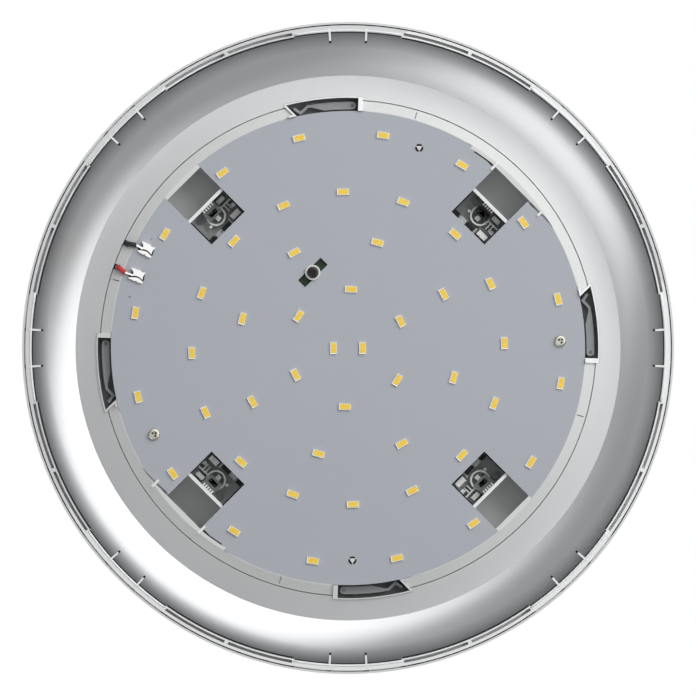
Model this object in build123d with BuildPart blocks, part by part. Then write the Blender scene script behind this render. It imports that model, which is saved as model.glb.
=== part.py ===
from build123d import *
from math import atan2, cos, radians, sin, sqrt, tan
import os

# A round outdoor ceiling light with its diffuser taken off, in millimetres.
# The origin is the centre of the face that lies on the ceiling. +Z points up, so the light
# hangs down from it, and every depth below is counted downwards from the ceiling.
# Angles are counted from the front mark, clockwise for someone who looks up at the light.

os.makedirs("parts", exist_ok=True)

# Overall form
light_radius = 150.0
light_depth = 50.0
front_mark = -90.0
quarter_turn = 90.0
eighth_turn = 45.0
quarters = 4
overrun = 1.0

# Clearances
close_gap = 0.05
part_gap = 0.15

# Outer shell
shell_floor = 2.4
shell_wall = 2.2
neck_radius = 125.6
neck_fillet = 4.0
valley_depth = 31.0
cone_rise = 5.6
bowl_width = 20.0
bowl_height = 18.0
bowl_tilt = 18.0
skin_tilt = 10.0
rim_band = 2.9
rim_groove = 0.55
rim_groove_depth = 1.7
lip_set_back = 0.2
pocket_lip = 0.3
pocket_width = 1.3
pocket_lip_proud = 0.7
pocket_lip_height = 3.4
pocket_lip_angle = 9.8
pocket_depth = 4.2
pocket_edge_angle = 10.1
pocket_bridge_angle = 0.35
gusset_angle = 3.33
gusset_thickness = 0.9
gusset_reach = 4.0
gusset_overlap = 1.6
gusset_bite = 4.0
gusset_proud = 0.25
gusset_root = 1.3
rim_pit_length = 1.6
rim_pit_depth = 4.5
rim_repeats = 8

# Back of the shell
back_recess = 0.8
back_hub_radius = 24.0
back_band = 15.6
back_spokes = 8
back_spoke_width = 3.0
fixing_pad_radius = 9.0
gasket_radius = 118.0
gasket_width = 5.0
gasket_thickness = 1.5
gasket_bed = 0.1

# Ceiling fixing and cable entries
fixing_radius = 86.1
fixing_hole_radius = 2.5
fixing_head_room = 5.5
entry_x = 26.0
entry_y = 64.0
entry_hole_radius = 7.0
entry_pad_radius = 12.5
cable_radius = 4.0
grommet_flange_radius = 9.5
grommet_flange = 1.6
side_entry_depth = 13.0
side_entry_radius = 9.0
side_boss_radius = 11.2
side_boss_height = 2.0
side_boss_root = 2.6
plug_flange_radius = 10.6
plug_flange = 1.8
plug_wall = 1.6
plug_length = 7.0

# Inner tray
tray_radius = 114.0
tray_gap = 0.35
tray_wall = 2.2
tray_lift = 2.5
tray_floor = 1.8
ring_width = 4.6
ring_front_depth = 36.2
ring_slope = 2.3
tick_angle = 16.3
tick_radius = 111.5
tick_length = 3.2
tick_width = 0.45
tick_depth = 35.9
ledge_width = 2.0
ledge_thickness = 1.6
ledge_slope = 2.7
inner_wall_radius = 91.8
inner_wall = 1.5
straight_wall_radius = 92.0
deep_floor_depth = 12.0
deep_floor = 1.6
post_radius = 3.0

# LED board
board_front_depth = 38.4
board_thickness = 1.6
board_gap = 0.2

# Windows in the board and the cells under them
window_near = 78.1
window_far = 107.0
window_half = 10.75
chord_gap = 1.0
cell_wall = 1.2
cell_inset = 0.2
shelf_depth = 18.0
shelf = 1.6

# Moulded forms on a cell's shelf, placed along the radius and across it
tower_near = 86.0
tower_half = 3.9
tower_height = 7.4
key_slot_along = 87.9
key_slot_length = 4.6
key_slot_width = 2.2
collar_radius = 4.2
collar_wall = 0.9
collar_height = 4.4
wedge_length = 2.6
wedge_half = 1.1
nub_along = 84.2
nub_across = 5.2
nub_radius = 0.7
tooth_count = 5
tooth_pitch = 1.3
tooth_width = 0.75
tooth_length = 1.3
tooth_height = 1.6
rail_along = 87.1
rail_width = 0.7
rail_height = 5.0
slat_across = 6.1
slat_pitch = 1.6
slat_length = 3.6
slat_width = 0.6
key_block_along = 89.8
key_block_across = 6.6
key_block_length = 2.2
key_block_width = 4.2
peg_along = 84.2
peg_across = 9.2
peg_side = 1.8
fin_across = 3.1
fin_width = 0.8
fin_length = 2.3
sill_across = 4.4
sill_width = 4.0
sill_length = 1.6
sill_height = 3.4

# Loose blocks and pads in a cell
spacer_along = 80.4
spacer_across = 7.0
spacer_length = 2.5
spacer_width = 4.9
spacer_height = 8.0
pad_across = 8.9
pad_length = 2.3
pad_width = 3.6
pad_height = 6.0
middle_pad_length = 2.1
middle_pad_width = 4.4
oval_length = 7.8
oval_width = 4.6
oval_height = 1.2

# Tray screws
tray_screw_along = 89.6
tray_screw_across = 6.8
tray_screw_head = 1.8
tray_screw_head_height = 1.4
tray_screw_shank = 0.9
tray_screw_length = 9.0
tray_boss_radius = 3.4

# Bayonet slots
slot_start_outer_angle = -14.35
slot_start_inner_angle = -12.4
slot_end_angle = 2.4
slot_inner_radius = 109.0
slot_outer_radius = 115.3
slot_floor_depth = 28.4
slot_floor = 1.6
slot_border = 0.6
slot_lip = 0.3
slot_border_front = 39.9
slot_border_proud = 1.2
slot_border_reach = 3.0
slot_rib_angle = 0.65
slot_clear_angle = 20.0
slot_foot_angle = -14.4
slot_foot_width = 0.9
slot_groove_start = -8.8
slot_groove_width = 0.5
slot_groove_depth = 3.0
slot_notch_margin = 0.12

# Latch springs
spring_pivot_angle = 1.0
spring_inner = 109.9
spring_outer = 113.4
spring_arm_end = -5.6
spring_neck_angle = -8.4
spring_neck = 1.6
spring_bend_angle = -9.5
spring_nose_angle = -11.4
spring_nose_radius = 110.4
spring_tip_angle = -12.6
spring_leg = 1.25
spring_top = 29.0
spring_height = 4.4
spring_pin = 0.8
spring_pin_gap = 0.06

# LEDs, in rings around the centre
led_length = 5.6
led_width = 3.0
led_height = 0.85
phosphor_length = 4.6
phosphor_width = 2.35
phosphor_depth = 0.25
led_ring_radii = [6.7, 27.1, 50.5, 72.0, 99.3]
led_ring_counts = [2, 6, 8, 16, 16]
led_ring_angles = [90.0, 3.0, 15.6, -1.8, 9.4]

# Board fixings
fixings_gap = 1.5
board_screw_angles = [88.1, 246.0]
snap_pin_angles = [19.6, 178.8]
board_screw_head = 2.65
board_screw_head_height = 1.7
board_screw_shank = 1.45
board_screw_length = 9.0
cross_width = 0.55
cross_length = 2.9
cross_depth = 0.9
snap_pin_hole = 1.9
snap_pin_shank = 1.25
snap_pin_lobe = 0.75
snap_pin_lobes = 3
snap_pin_head_height = 0.9
snap_pin_length = 8.0
pilot_depth = 12.0

# Terminals on the board and their leads
terminal_far = 106.6
terminal_length = 7.4
terminal_width = 5.0
terminal_base = 0.5
terminal_height = 2.3
terminal_tunnel = 3.3
terminal_tunnel_inset = 0.5
terminal_waist = 1.3
negative_angle = 295.9
positive_angle = 288.7
lead_lean = 0.6
wire_radius = 1.1
wire_core = 0.45
wire_core_reach = 1.6
wire_height = 1.2
wire_end_radius = 108.4
wire_rise_radius = 112.6
wire_low_depth = 25.0
wire_inner_radius = 86.0
wire_notch_gap = 0.15
wire_hole_gap = 0.4
lead_turn_x = -79.5
lead_turn_step = 2.6
bend_share = 0.45
widest_bend = 8.0

# Dusk sensor
sensor_x = -16.2
sensor_y = -34.8
sensor_turn = -45.0
sensor_slot_length = 14.7
sensor_slot_width = 4.6
sensor_stem = 2.1
sensor_flange = 3.5
sensor_flange_height = 1.3
sensor_lens_radius = 2.7
sensor_lens_height = 1.1
sensor_lens_seat = 0.5
sensor_lens_edge = 0.8
sensor_board_depth = 31.0
sensor_board_length = 24.0
sensor_board_width = 13.0
circuit_board = 1.6
sensor_post_radius = 2.2
sensor_post_spacing = 17.0

# Power supply
case_x = -6.0
case_y = 12.0
case_length = 112.0
case_width = 56.0
case_height = 23.3
case_wall = 1.8
case_corner = 3.0
lid_lip_height = 2.0
lid_lip = 1.2
vent_count = 9
vent_pitch = 5.0
vent_width = 1.8
vent_length = 22.0
driver_board_lift = 5.0
driver_board_gap = 1.0
driver_post_radius = 2.4
driver_post_inset = 6.0
transformer_x = 8.0
transformer_length = 26.0
transformer_width = 22.0
transformer_core_height = 7.0
transformer_limb = 4.0
transformer_middle = 6.0
winding_gap = 0.3
winding_build = 1.8
capacitor_inset = 24.0
capacitor_radius = 5.0
capacitor_height = 11.0
capacitor_spacing = 14.0
choke_x = -17.0
choke_radius = 6.0
choke_waist = 4.2
choke_height = 9.0
choke_rim = 1.5
film_inset = 16.0
film_length = 13.0
film_width = 6.5
film_height = 10.5
film_spacing = 18.0
output_block_length = 8.0
output_block_width = 15.0
output_block_depth = 21.0
output_block_height = 8.0
output_pitch = 6.0
output_y = -5.0
input_block_x = -14.0
input_block_length = 22.0
input_block_width = 6.0
input_block_depth = 10.0
input_block_height = 9.0

# Mains terminal
mains_x = -14.0
mains_y = 66.0
mains_length = 32.0
mains_width = 16.0
mains_height = 15.0
mains_poles = 3
mains_pitch = 9.5
mains_bore = 2.3
mains_screw_radius = 2.0
mains_screw_height = 5.0
mains_screw_slot = 0.8
mains_screw_gap = 0.1
lead_radius = 1.2
lead_depth = 14.5

# Sizes that follow from those above
bowl_radius = neck_radius + bowl_width
rim_band_radius = bowl_radius + rim_band
lip_depth = light_depth - lip_set_back
skin_top_depth = valley_depth - shell_wall
pan_depth = skin_top_depth - neck_fillet
cone_radius = tray_radius + tray_gap
cone_depth = valley_depth + cone_rise
cone_slope = cone_rise / (neck_radius - cone_radius)
neck_inner_radius = neck_radius - shell_wall
tray_top_depth = shell_floor + tray_lift
tray_floor_depth = tray_top_depth + tray_floor
tray_inner_radius = tray_radius - tray_wall
ring_inner_radius = tray_radius - ring_width
ring_edge_depth = ring_front_depth + ring_slope
slope_in_reach = ring_slope / ring_width * slot_border_reach
border_high_depth = ring_edge_depth + slot_border_proud + slope_in_reach
border_low_depth = ring_front_depth + slot_border_proud - slope_in_reach
ledge_radius = ring_inner_radius - ledge_width
board_back_depth = board_front_depth - board_thickness
board_radius = ring_inner_radius - board_gap
cell_half = window_half + cell_inset
cell_near = window_near - cell_inset - cell_wall
shelf_front_depth = shelf_depth + shelf
slot_border_back = slot_floor_depth - slot_floor
spring_pivot_radius = (spring_inner + spring_outer) / 2
fixings_radius = inner_wall_radius + inner_wall + post_radius + fixings_gap
capacitor_x = case_x - case_length / 2 + capacitor_inset
film_x = case_x + case_length / 2 - film_inset
windows_turn = front_mark + eighth_turn
wire_depth = board_front_depth + wire_height
notch_radius = wire_rise_radius - wire_radius - wire_notch_gap
notch_length = tray_radius + overrun - notch_radius


# Places and planes
def below(depth, turn=0):
    """The level plane at this depth under the ceiling, turned about the light's axis."""
    sideways = (cos(radians(turn)), sin(radians(turn)), 0)
    return Plane(origin=(0, 0, -depth), x_dir=sideways, z_dir=(0, 0, 1))


def spot(radius, angle):
    """The place at this radius and this angle from the front mark."""
    turn = radians(front_mark + angle)
    return (radius * cos(turn), radius * sin(turn))


def upright(angle):
    """The upright plane through the light's axis that points out at this angle."""
    x, y = spot(1, angle)
    return Plane(origin=(0, 0, 0), x_dir=(x, y, 0), z_dir=(y, -x, 0))


def facing_out(radius, angle, depth):
    """A plane at this radius, angle and depth that faces away from the light's axis."""
    x, y = spot(1, angle)
    return Plane(origin=(radius * x, radius * y, -depth), x_dir=(-y, x, 0), z_dir=(x, y, 0))


def ring_piece(inner, outer, start, end):
    """A piece of a flat ring between two angles from the front mark."""
    with BuildSketch() as piece:
        with BuildLine():
            near = CenterArc((0, 0), inner, front_mark + start, end - start)
            far = CenterArc((0, 0), outer, front_mark + start, end - start)
            Line(near @ 0, far @ 0)
            Line(near @ 1, far @ 1)
        make_face()
    return piece.sketch


def slot_shape():
    """The outline of the bayonet slot at the front mark, with its slanted end."""
    with BuildSketch() as shape:
        with BuildLine():
            near = CenterArc(
                (0, 0),
                slot_inner_radius,
                front_mark + slot_start_inner_angle,
                slot_end_angle - slot_start_inner_angle,
            )
            far = CenterArc(
                (0, 0),
                slot_outer_radius,
                front_mark + slot_start_outer_angle,
                slot_end_angle - slot_start_outer_angle,
            )
            Line(near @ 0, far @ 0)
            Line(near @ 1, far @ 1)
        make_face()
    return shape.sketch


def bordered_slot_shape(border):
    """The slot's outline with a border around it, which is thicker at the slot's square end."""
    with BuildSketch() as shape:
        add(slot_shape())
        add(
            ring_piece(slot_inner_radius, slot_outer_radius, slot_end_angle, slot_end_angle + slot_rib_angle)
        )
        offset(amount=border, kind=Kind.INTERSECTION)
    return shape.sketch


def chord_land(radius, near):
    """What lies beyond a straight line across a disc, on the side of the XY plane's X axis."""
    with BuildSketch() as shape:
        Circle(radius)
        with Locations((near + radius / 2, 0)):
            Rectangle(radius, 2 * radius, mode=Mode.INTERSECT)
    return shape.sketch


def bowl_depth(radius):
    """How deep the bowl's inner face, an arc that starts at its tilt, lies at this radius."""
    chord = sqrt(bowl_width**2 + bowl_height**2)
    chord_tilt = atan2(bowl_height, bowl_width)
    bend = chord / (2 * sin(chord_tilt - radians(bowl_tilt)))
    across = radius - neck_radius + bend * sin(radians(bowl_tilt))
    return valley_depth + bend * cos(radians(bowl_tilt)) - sqrt(bend**2 - across**2)


def led_ring_places():
    """Each ring of LEDs as its radius, its count and the turn of its first LED."""
    turns = [front_mark + angle for angle in led_ring_angles]
    return list(zip(led_ring_radii, led_ring_counts, turns))


def bend_radii(points):
    """The largest easy bend at each inner point of a lead's route."""
    radii = []
    for before, here, after in zip(points, points[1:], points[2:]):
        arriving = Vector(*here) - Vector(*before)
        leaving = Vector(*after) - Vector(*here)
        half_turn = radians(arriving.get_angle(leaving)) / 2
        room = bend_share * min(arriving.length, leaving.length)
        radii.append(min(widest_bend, room / tan(half_turn)))
    return radii


# Base pan: a shallow cup that is screwed to the ceiling
with BuildPart() as base_pan:
    with BuildSketch(below(0)):
        Circle(neck_radius)
    extrude(amount=-pan_depth)
    with BuildSketch(below(shell_floor)):
        Circle(neck_inner_radius)
    extrude(amount=-pan_depth, mode=Mode.SUBTRACT)
    # Bosses that carry the inner tray, under its screws
    with BuildSketch(below(shell_floor)):
        with PolarLocations(0, quarters, start_angle=windows_turn):
            with Locations((tray_screw_along, -tray_screw_across)):
                Circle(tray_boss_radius)
    extrude(amount=-(shelf_depth - shell_floor))
    with BuildSketch(below(shelf_depth)):
        with PolarLocations(0, quarters, start_angle=windows_turn):
            with Locations((tray_screw_along, -tray_screw_across)):
                Circle(tray_screw_shank + close_gap)
    extrude(amount=tray_screw_length, mode=Mode.SUBTRACT)
    # Boss of the side cable entry
    with BuildSketch(facing_out(neck_radius - side_boss_root, 0, side_entry_depth)):
        Circle(side_boss_radius)
    extrude(amount=side_boss_root + side_boss_height)
    with BuildSketch(facing_out(neck_radius - plug_length, 0, side_entry_depth)):
        Circle(side_entry_radius)
    extrude(amount=plug_length + side_boss_height + overrun, mode=Mode.SUBTRACT)
    # Ceiling side: shallow recess with a hub, spokes and pads left standing
    with BuildSketch(below(0)):
        Circle(neck_radius - back_band)
        Circle(back_hub_radius, mode=Mode.SUBTRACT)
        with PolarLocations(0, back_spokes // 2):
            Rectangle(light_radius * 2, back_spoke_width, mode=Mode.SUBTRACT)
        with PolarLocations(fixing_radius, quarters, start_angle=windows_turn):
            Circle(fixing_pad_radius, mode=Mode.SUBTRACT)
        with Locations((entry_x, entry_y)):
            Circle(entry_pad_radius, mode=Mode.SUBTRACT)
    extrude(amount=-back_recess, mode=Mode.SUBTRACT)
    with BuildSketch(below(0)):
        Circle(gasket_radius + gasket_width / 2)
        Circle(gasket_radius - gasket_width / 2, mode=Mode.SUBTRACT)
    extrude(amount=-(gasket_thickness + gasket_bed), mode=Mode.SUBTRACT)
    # Ceiling fixing holes and the cable hole
    with BuildSketch(below(0)):
        with PolarLocations(fixing_radius, quarters, start_angle=windows_turn):
            Circle(fixing_hole_radius)
        with Locations((entry_x, entry_y)):
            Circle(entry_hole_radius)
    extrude(amount=-(shell_floor + overrun), mode=Mode.SUBTRACT)
base_pan.part.label = "base_pan"
export_step(base_pan.part, "parts/base_pan.step")

# Outer shell: collar, cone, bowl and rim in one moulding
with BuildPart() as outer_shell:
    with BuildSketch(Plane.XZ):
        with BuildLine():
            TangentArc(
                (neck_radius, -skin_top_depth),
                (light_radius, -lip_depth),
                tangent=(cos(radians(skin_tilt)), -sin(radians(skin_tilt))),
            )
            Polyline(
                (neck_radius, -skin_top_depth),
                (neck_radius, -pan_depth),
                (neck_inner_radius, -pan_depth),
                (neck_inner_radius, -(skin_top_depth + cone_slope * shell_wall)),
                (cone_radius, -(cone_depth - shell_wall)),
                (cone_radius, -cone_depth),
                (neck_radius, -valley_depth),
            )
            TangentArc(
                (neck_radius, -valley_depth),
                (bowl_radius, -(valley_depth + bowl_height)),
                tangent=(cos(radians(bowl_tilt)), -sin(radians(bowl_tilt))),
            )
            Polyline(
                (bowl_radius, -(valley_depth + bowl_height)),
                (bowl_radius, -light_depth),
                (rim_band_radius, -light_depth),
                (rim_band_radius, -(light_depth - rim_groove_depth)),
                (rim_band_radius + rim_groove, -(light_depth - rim_groove_depth)),
                (rim_band_radius + rim_groove, -lip_depth),
                (light_radius, -lip_depth),
            )
        make_face()
    revolve(axis=Axis.Z)
    back_corner = outer_shell.edges().filter_by(GeomType.CIRCLE).filter_by(
        lambda edge: abs(edge.center().Z + skin_top_depth) < close_gap
        and abs(edge.radius - neck_radius) < close_gap
    )
    fillet(back_corner, neck_fillet)
    # Gusset ribs in the bowl, a pair at each solid part of the rim
    for pair in range(rim_repeats):
        for side in (-1, 1):
            with BuildSketch(upright(pair * eighth_turn + side * gusset_angle)):
                with BuildLine():
                    Polyline(
                        (bowl_radius - gusset_reach, -(light_depth + gusset_proud)),
                        (bowl_radius + gusset_overlap, -(light_depth + gusset_proud)),
                        (bowl_radius + gusset_overlap, -(light_depth - gusset_bite)),
                        (
                            bowl_radius - gusset_reach,
                            -(bowl_depth(bowl_radius - gusset_reach) - gusset_root),
                        ),
                        close=True,
                    )
                make_face()
            extrude(amount=gusset_thickness / 2, both=True)
    # Lips that stand proud of the bowl in front of the pockets
    with BuildSketch(below(light_depth)):
        with PolarLocations(0, rim_repeats):
            add(
                ring_piece(
                    bowl_radius - pocket_lip_proud,
                    bowl_radius + pocket_lip,
                    pocket_lip_angle,
                    eighth_turn - pocket_lip_angle,
                )
            )
    extrude(amount=pocket_lip_height)
    # Pockets that core out the rim
    with BuildSketch(below(light_depth)):
        with PolarLocations(0, rim_repeats):
            add(
                ring_piece(
                    bowl_radius + pocket_lip,
                    bowl_radius + pocket_lip + pocket_width,
                    pocket_edge_angle,
                    eighth_turn / 2 - pocket_bridge_angle,
                )
            )
            add(
                ring_piece(
                    bowl_radius + pocket_lip,
                    bowl_radius + pocket_lip + pocket_width,
                    eighth_turn / 2 + pocket_bridge_angle,
                    eighth_turn - pocket_edge_angle,
                )
            )
    extrude(amount=pocket_depth, mode=Mode.SUBTRACT)
    # Deeper pits in the rim's groove, one behind each gusset
    with BuildSketch(below(light_depth)):
        for side in (-1, 1):
            with PolarLocations(
                rim_band_radius + rim_groove / 2, rim_repeats, start_angle=front_mark + side * gusset_angle
            ):
                Rectangle(rim_groove, rim_pit_length)
    extrude(amount=rim_pit_depth, mode=Mode.SUBTRACT)
    # Notches in the cone for the borders of the bayonet slots
    with BuildSketch(below(valley_depth)):
        with PolarLocations(0, quarters):
            add(bordered_slot_shape(slot_border + slot_notch_margin))
    extrude(amount=-(cone_rise + overrun), mode=Mode.SUBTRACT)
outer_shell.part.label = "outer_shell"
export_step(outer_shell.part, "parts/outer_shell.step")

# Inner tray: floor, wall, front ring, board ledge, cells and bayonet slots
with BuildPart() as inner_tray:
    with BuildSketch(Plane.XZ):
        with BuildLine():
            Polyline(
                (0, -tray_top_depth),
                (tray_radius, -tray_top_depth),
                (tray_radius, -ring_front_depth),
                (ring_inner_radius, -ring_edge_depth),
                (ring_inner_radius, -board_back_depth),
                (ledge_radius, -board_back_depth),
                (ledge_radius, -(board_back_depth - ledge_thickness)),
                (tray_inner_radius, -(board_back_depth - ledge_thickness - ledge_slope)),
                (tray_inner_radius, -tray_floor_depth),
                (0, -tray_floor_depth),
                close=True,
            )
        make_face()
    revolve(axis=Axis.Z)
    # Round wall, cell walls and posts, all as high as the board's back
    with BuildSketch(below(tray_floor_depth)):
        Circle(inner_wall_radius + inner_wall)
        Circle(inner_wall_radius, mode=Mode.SUBTRACT)
        with PolarLocations(0, quarters, start_angle=windows_turn):
            with Locations((inner_wall_radius, 0)):
                Rectangle(2 * inner_wall, 2 * cell_half, mode=Mode.SUBTRACT)
            with Locations((straight_wall_radius + inner_wall / 2, 0)):
                Rectangle(inner_wall, 2 * cell_half + cell_wall)
            with Locations(
                ((cell_near + window_far) / 2 + cell_wall / 2, cell_half + cell_wall / 2),
                ((cell_near + window_far) / 2 + cell_wall / 2, -cell_half - cell_wall / 2),
            ):
                Rectangle(window_far - cell_near + cell_wall, cell_wall)
            with Locations((cell_near + cell_wall / 2, 0)):
                Rectangle(cell_wall, 2 * cell_half + cell_wall)
        for angle in board_screw_angles + snap_pin_angles:
            with Locations(spot(fixings_radius, angle)):
                Circle(post_radius)
    extrude(amount=-(board_back_depth - tray_floor_depth))
    # Raised floors of the windows' outer halves
    with BuildSketch(below(deep_floor_depth - deep_floor)):
        with PolarLocations(0, quarters, start_angle=windows_turn):
            with Locations(((straight_wall_radius + tray_inner_radius + overrun) / 2, 0)):
                Rectangle(tray_inner_radius + overrun - straight_wall_radius, 2 * cell_half + cell_wall)
    extrude(amount=-deep_floor)
    # Flat walls that close the windows at the ring, two of them with long straight lands
    with BuildSketch(below(tray_floor_depth)):
        with PolarLocations(0, quarters, start_angle=windows_turn):
            with Locations(((window_far + tray_inner_radius + overrun) / 2, 0)):
                Rectangle(tray_inner_radius + overrun - window_far, 2 * window_half)
    extrude(amount=-(ring_edge_depth - tray_floor_depth))
    with BuildSketch(below(board_back_depth - ledge_thickness)):
        with PolarLocations(0, 2, start_angle=windows_turn):
            add(chord_land(ring_inner_radius + part_gap, window_far))
    extrude(amount=-(ring_edge_depth - board_back_depth + ledge_thickness))
    # The ring's slope over these walls, and its thin tick marks
    with BuildSketch(Plane.XZ):
        with BuildLine():
            Polyline(
                (ring_inner_radius, -ring_edge_depth),
                (tray_radius, -ring_front_depth),
                (tray_radius, -(ring_edge_depth + overrun)),
                (ring_inner_radius, -(ring_edge_depth + overrun)),
                close=True,
            )
        make_face()
    revolve(axis=Axis.Z, mode=Mode.SUBTRACT)
    with BuildSketch(below(tick_depth)):
        with PolarLocations(tick_radius, quarters, start_angle=front_mark + tick_angle):
            Rectangle(tick_length, tick_width)
    extrude(amount=-(ring_edge_depth - tick_depth + overrun), mode=Mode.SUBTRACT)
    # Bayonet slots with a raised border, whose lip laps over the cone
    with BuildSketch(below(cone_depth + part_gap)):
        with PolarLocations(0, quarters):
            add(bordered_slot_shape(slot_border + slot_lip))
    extrude(amount=-(slot_border_front - cone_depth - part_gap))
    with BuildSketch(below(slot_border_back)):
        with PolarLocations(0, quarters):
            add(bordered_slot_shape(slot_border))
            add(
                ring_piece(
                    ring_inner_radius,
                    ring_inner_radius + slot_foot_width,
                    slot_foot_angle,
                    slot_start_inner_angle,
                )
            )
    extrude(amount=-(slot_border_front - slot_border_back))
    with BuildSketch(below(slot_floor_depth)):
        with PolarLocations(0, quarters):
            add(slot_shape())
    extrude(amount=-(slot_border_front - slot_floor_depth + overrun), mode=Mode.SUBTRACT)
    with BuildSketch(below(board_back_depth)):
        with PolarLocations(0, quarters):
            add(ring_piece(window_far, ring_inner_radius, -slot_clear_angle, slot_clear_angle))
    extrude(amount=-(slot_border_front - board_back_depth + overrun), mode=Mode.SUBTRACT)
    # The borders follow the ring's slope too
    with BuildSketch(Plane.XZ):
        with BuildLine():
            Polyline(
                (ring_inner_radius - slot_border_reach, -border_high_depth),
                (tray_radius + slot_border_reach, -border_low_depth),
                (tray_radius + slot_border_reach, -light_depth),
                (ring_inner_radius - slot_border_reach, -light_depth),
                close=True,
            )
        make_face()
    revolve(axis=Axis.Z, mode=Mode.SUBTRACT)
    with BuildSketch(below(slot_floor_depth)):
        with PolarLocations(0, quarters):
            add(
                ring_piece(
                    spring_outer + part_gap,
                    spring_outer + part_gap + slot_groove_width,
                    slot_groove_start,
                    slot_end_angle,
                )
            )
    extrude(amount=slot_groove_depth, mode=Mode.SUBTRACT)
    # Pins that the latch springs turn on
    with BuildSketch(below(slot_floor_depth)):
        for turn in range(quarters):
            with Locations(spot(spring_pivot_radius, spring_pivot_angle + turn * quarter_turn)):
                Circle(spring_pin)
    extrude(amount=-(spring_top + spring_height - slot_floor_depth))
    # Shelves in the cells, with their moulded forms
    with BuildSketch(below(shelf_depth)):
        with PolarLocations(0, quarters, start_angle=windows_turn):
            with Locations(((cell_near + inner_wall_radius + inner_wall) / 2, 0)):
                Rectangle(inner_wall_radius + inner_wall - cell_near, 2 * cell_half + cell_wall)
    extrude(amount=-shelf)
    with BuildSketch(below(shelf_front_depth)):
        with PolarLocations(0, quarters, start_angle=windows_turn):
            with Locations(((tower_near + inner_wall_radius) / 2, 0)):
                Rectangle(inner_wall_radius - tower_near + inner_wall / 2, 2 * tower_half)
    extrude(amount=-tower_height)
    with BuildSketch(below(shelf_front_depth)):
        with PolarLocations(0, quarters, start_angle=windows_turn):
            with Locations((fixing_radius, 0)):
                Circle(collar_radius + collar_wall / 2)
                Circle(collar_radius - collar_wall / 2, mode=Mode.SUBTRACT)
            with Locations((tower_near - wedge_length / 2, 0)):
                Rectangle(wedge_length, 2 * wedge_half)
            with Locations((nub_along, -nub_across)):
                Circle(nub_radius)
    extrude(amount=-collar_height)
    with BuildSketch(below(shelf_front_depth + tower_height)):
        with PolarLocations(0, quarters, start_angle=windows_turn):
            with Locations((inner_wall_radius - tooth_length / 2 + inner_wall / 4, 0)):
                with GridLocations(0, tooth_pitch, 1, tooth_count):
                    Rectangle(tooth_length + inner_wall / 2, tooth_width)
    extrude(amount=-tooth_height)
    with BuildSketch(below(shelf_front_depth)):
        with PolarLocations(0, quarters, start_angle=windows_turn):
            with Locations((rail_along, (tower_half + cell_half) / 2)):
                Rectangle(rail_width, cell_half - tower_half + cell_wall / 2)
            with Locations((rail_along - slat_length / 2, slat_across + slat_pitch / 2)):
                with GridLocations(0, slat_pitch, 1, 2):
                    Rectangle(slat_length, slat_width)
            with Locations((key_block_along, key_block_across)):
                Rectangle(key_block_length, key_block_width)
            with Locations((peg_along, peg_across)):
                Rectangle(peg_side, peg_side)
    extrude(amount=-rail_height)
    with BuildSketch(below(shelf_front_depth)):
        with PolarLocations(0, quarters, start_angle=windows_turn):
            with Locations((window_near + fin_length / 2, fin_across)):
                Rectangle(fin_length + cell_wall, fin_width)
            with Locations((window_near + sill_length / 2, -sill_across)):
                Rectangle(sill_length + cell_wall, sill_width)
    extrude(amount=-sill_height)
    # Openings through the shelves and the floor
    with BuildSketch(below(shelf_depth)):
        with PolarLocations(0, quarters, start_angle=windows_turn):
            with Locations((key_slot_along, 0)):
                Rectangle(key_slot_width, key_slot_length)
            with Locations((tray_screw_along, -tray_screw_across)):
                Circle(tray_screw_shank + part_gap)
    extrude(amount=-(shelf + tower_height + tooth_height + overrun), mode=Mode.SUBTRACT)
    with BuildSketch(below(tray_top_depth)):
        with PolarLocations(0, quarters, start_angle=windows_turn):
            with Locations((fixing_radius, 0)):
                Circle(fixing_head_room)
            with Locations((tray_screw_along, -tray_screw_across)):
                Circle(tray_boss_radius + part_gap)
        with Locations((entry_x, entry_y)):
            Circle(grommet_flange_radius + overrun)
    extrude(amount=-(shelf_depth - tray_top_depth), mode=Mode.SUBTRACT)
    # Pilot holes in the posts
    with BuildSketch(below(board_back_depth)):
        for angle in board_screw_angles:
            with Locations(spot(fixings_radius, angle)):
                Circle(board_screw_shank + close_gap)
        for angle in snap_pin_angles:
            with Locations(spot(fixings_radius, angle)):
                Circle(snap_pin_shank + close_gap)
    extrude(amount=pilot_depth, mode=Mode.SUBTRACT)
    # Posts of the sensor board
    with BuildSketch(below(tray_floor_depth)):
        with Locations((sensor_x, sensor_y)):
            with GridLocations(sensor_post_spacing, 0, 2, 1):
                Circle(sensor_post_radius)
    extrude(amount=-(sensor_board_depth - tray_floor_depth))
    # Ways for the two leads, through the front ring and the round wall
    for angle in (negative_angle - lead_lean, positive_angle + lead_lean):
        with BuildSketch(below(wire_low_depth - wire_radius - wire_hole_gap)):
            notch_center = spot(notch_radius + notch_length / 2, angle)
            with Locations(Location(notch_center, front_mark + angle)):
                Rectangle(notch_length, 2 * (wire_radius + wire_notch_gap))
        extrude(amount=-(light_depth - wire_low_depth), mode=Mode.SUBTRACT)
        with BuildSketch(facing_out(inner_wall_radius - overrun, angle, wire_low_depth)):
            Circle(wire_radius + wire_hole_gap)
        extrude(amount=inner_wall + 2 * overrun, mode=Mode.SUBTRACT)
inner_tray.part.label = "inner_tray"
export_step(inner_tray.part, "parts/inner_tray.step")

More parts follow.
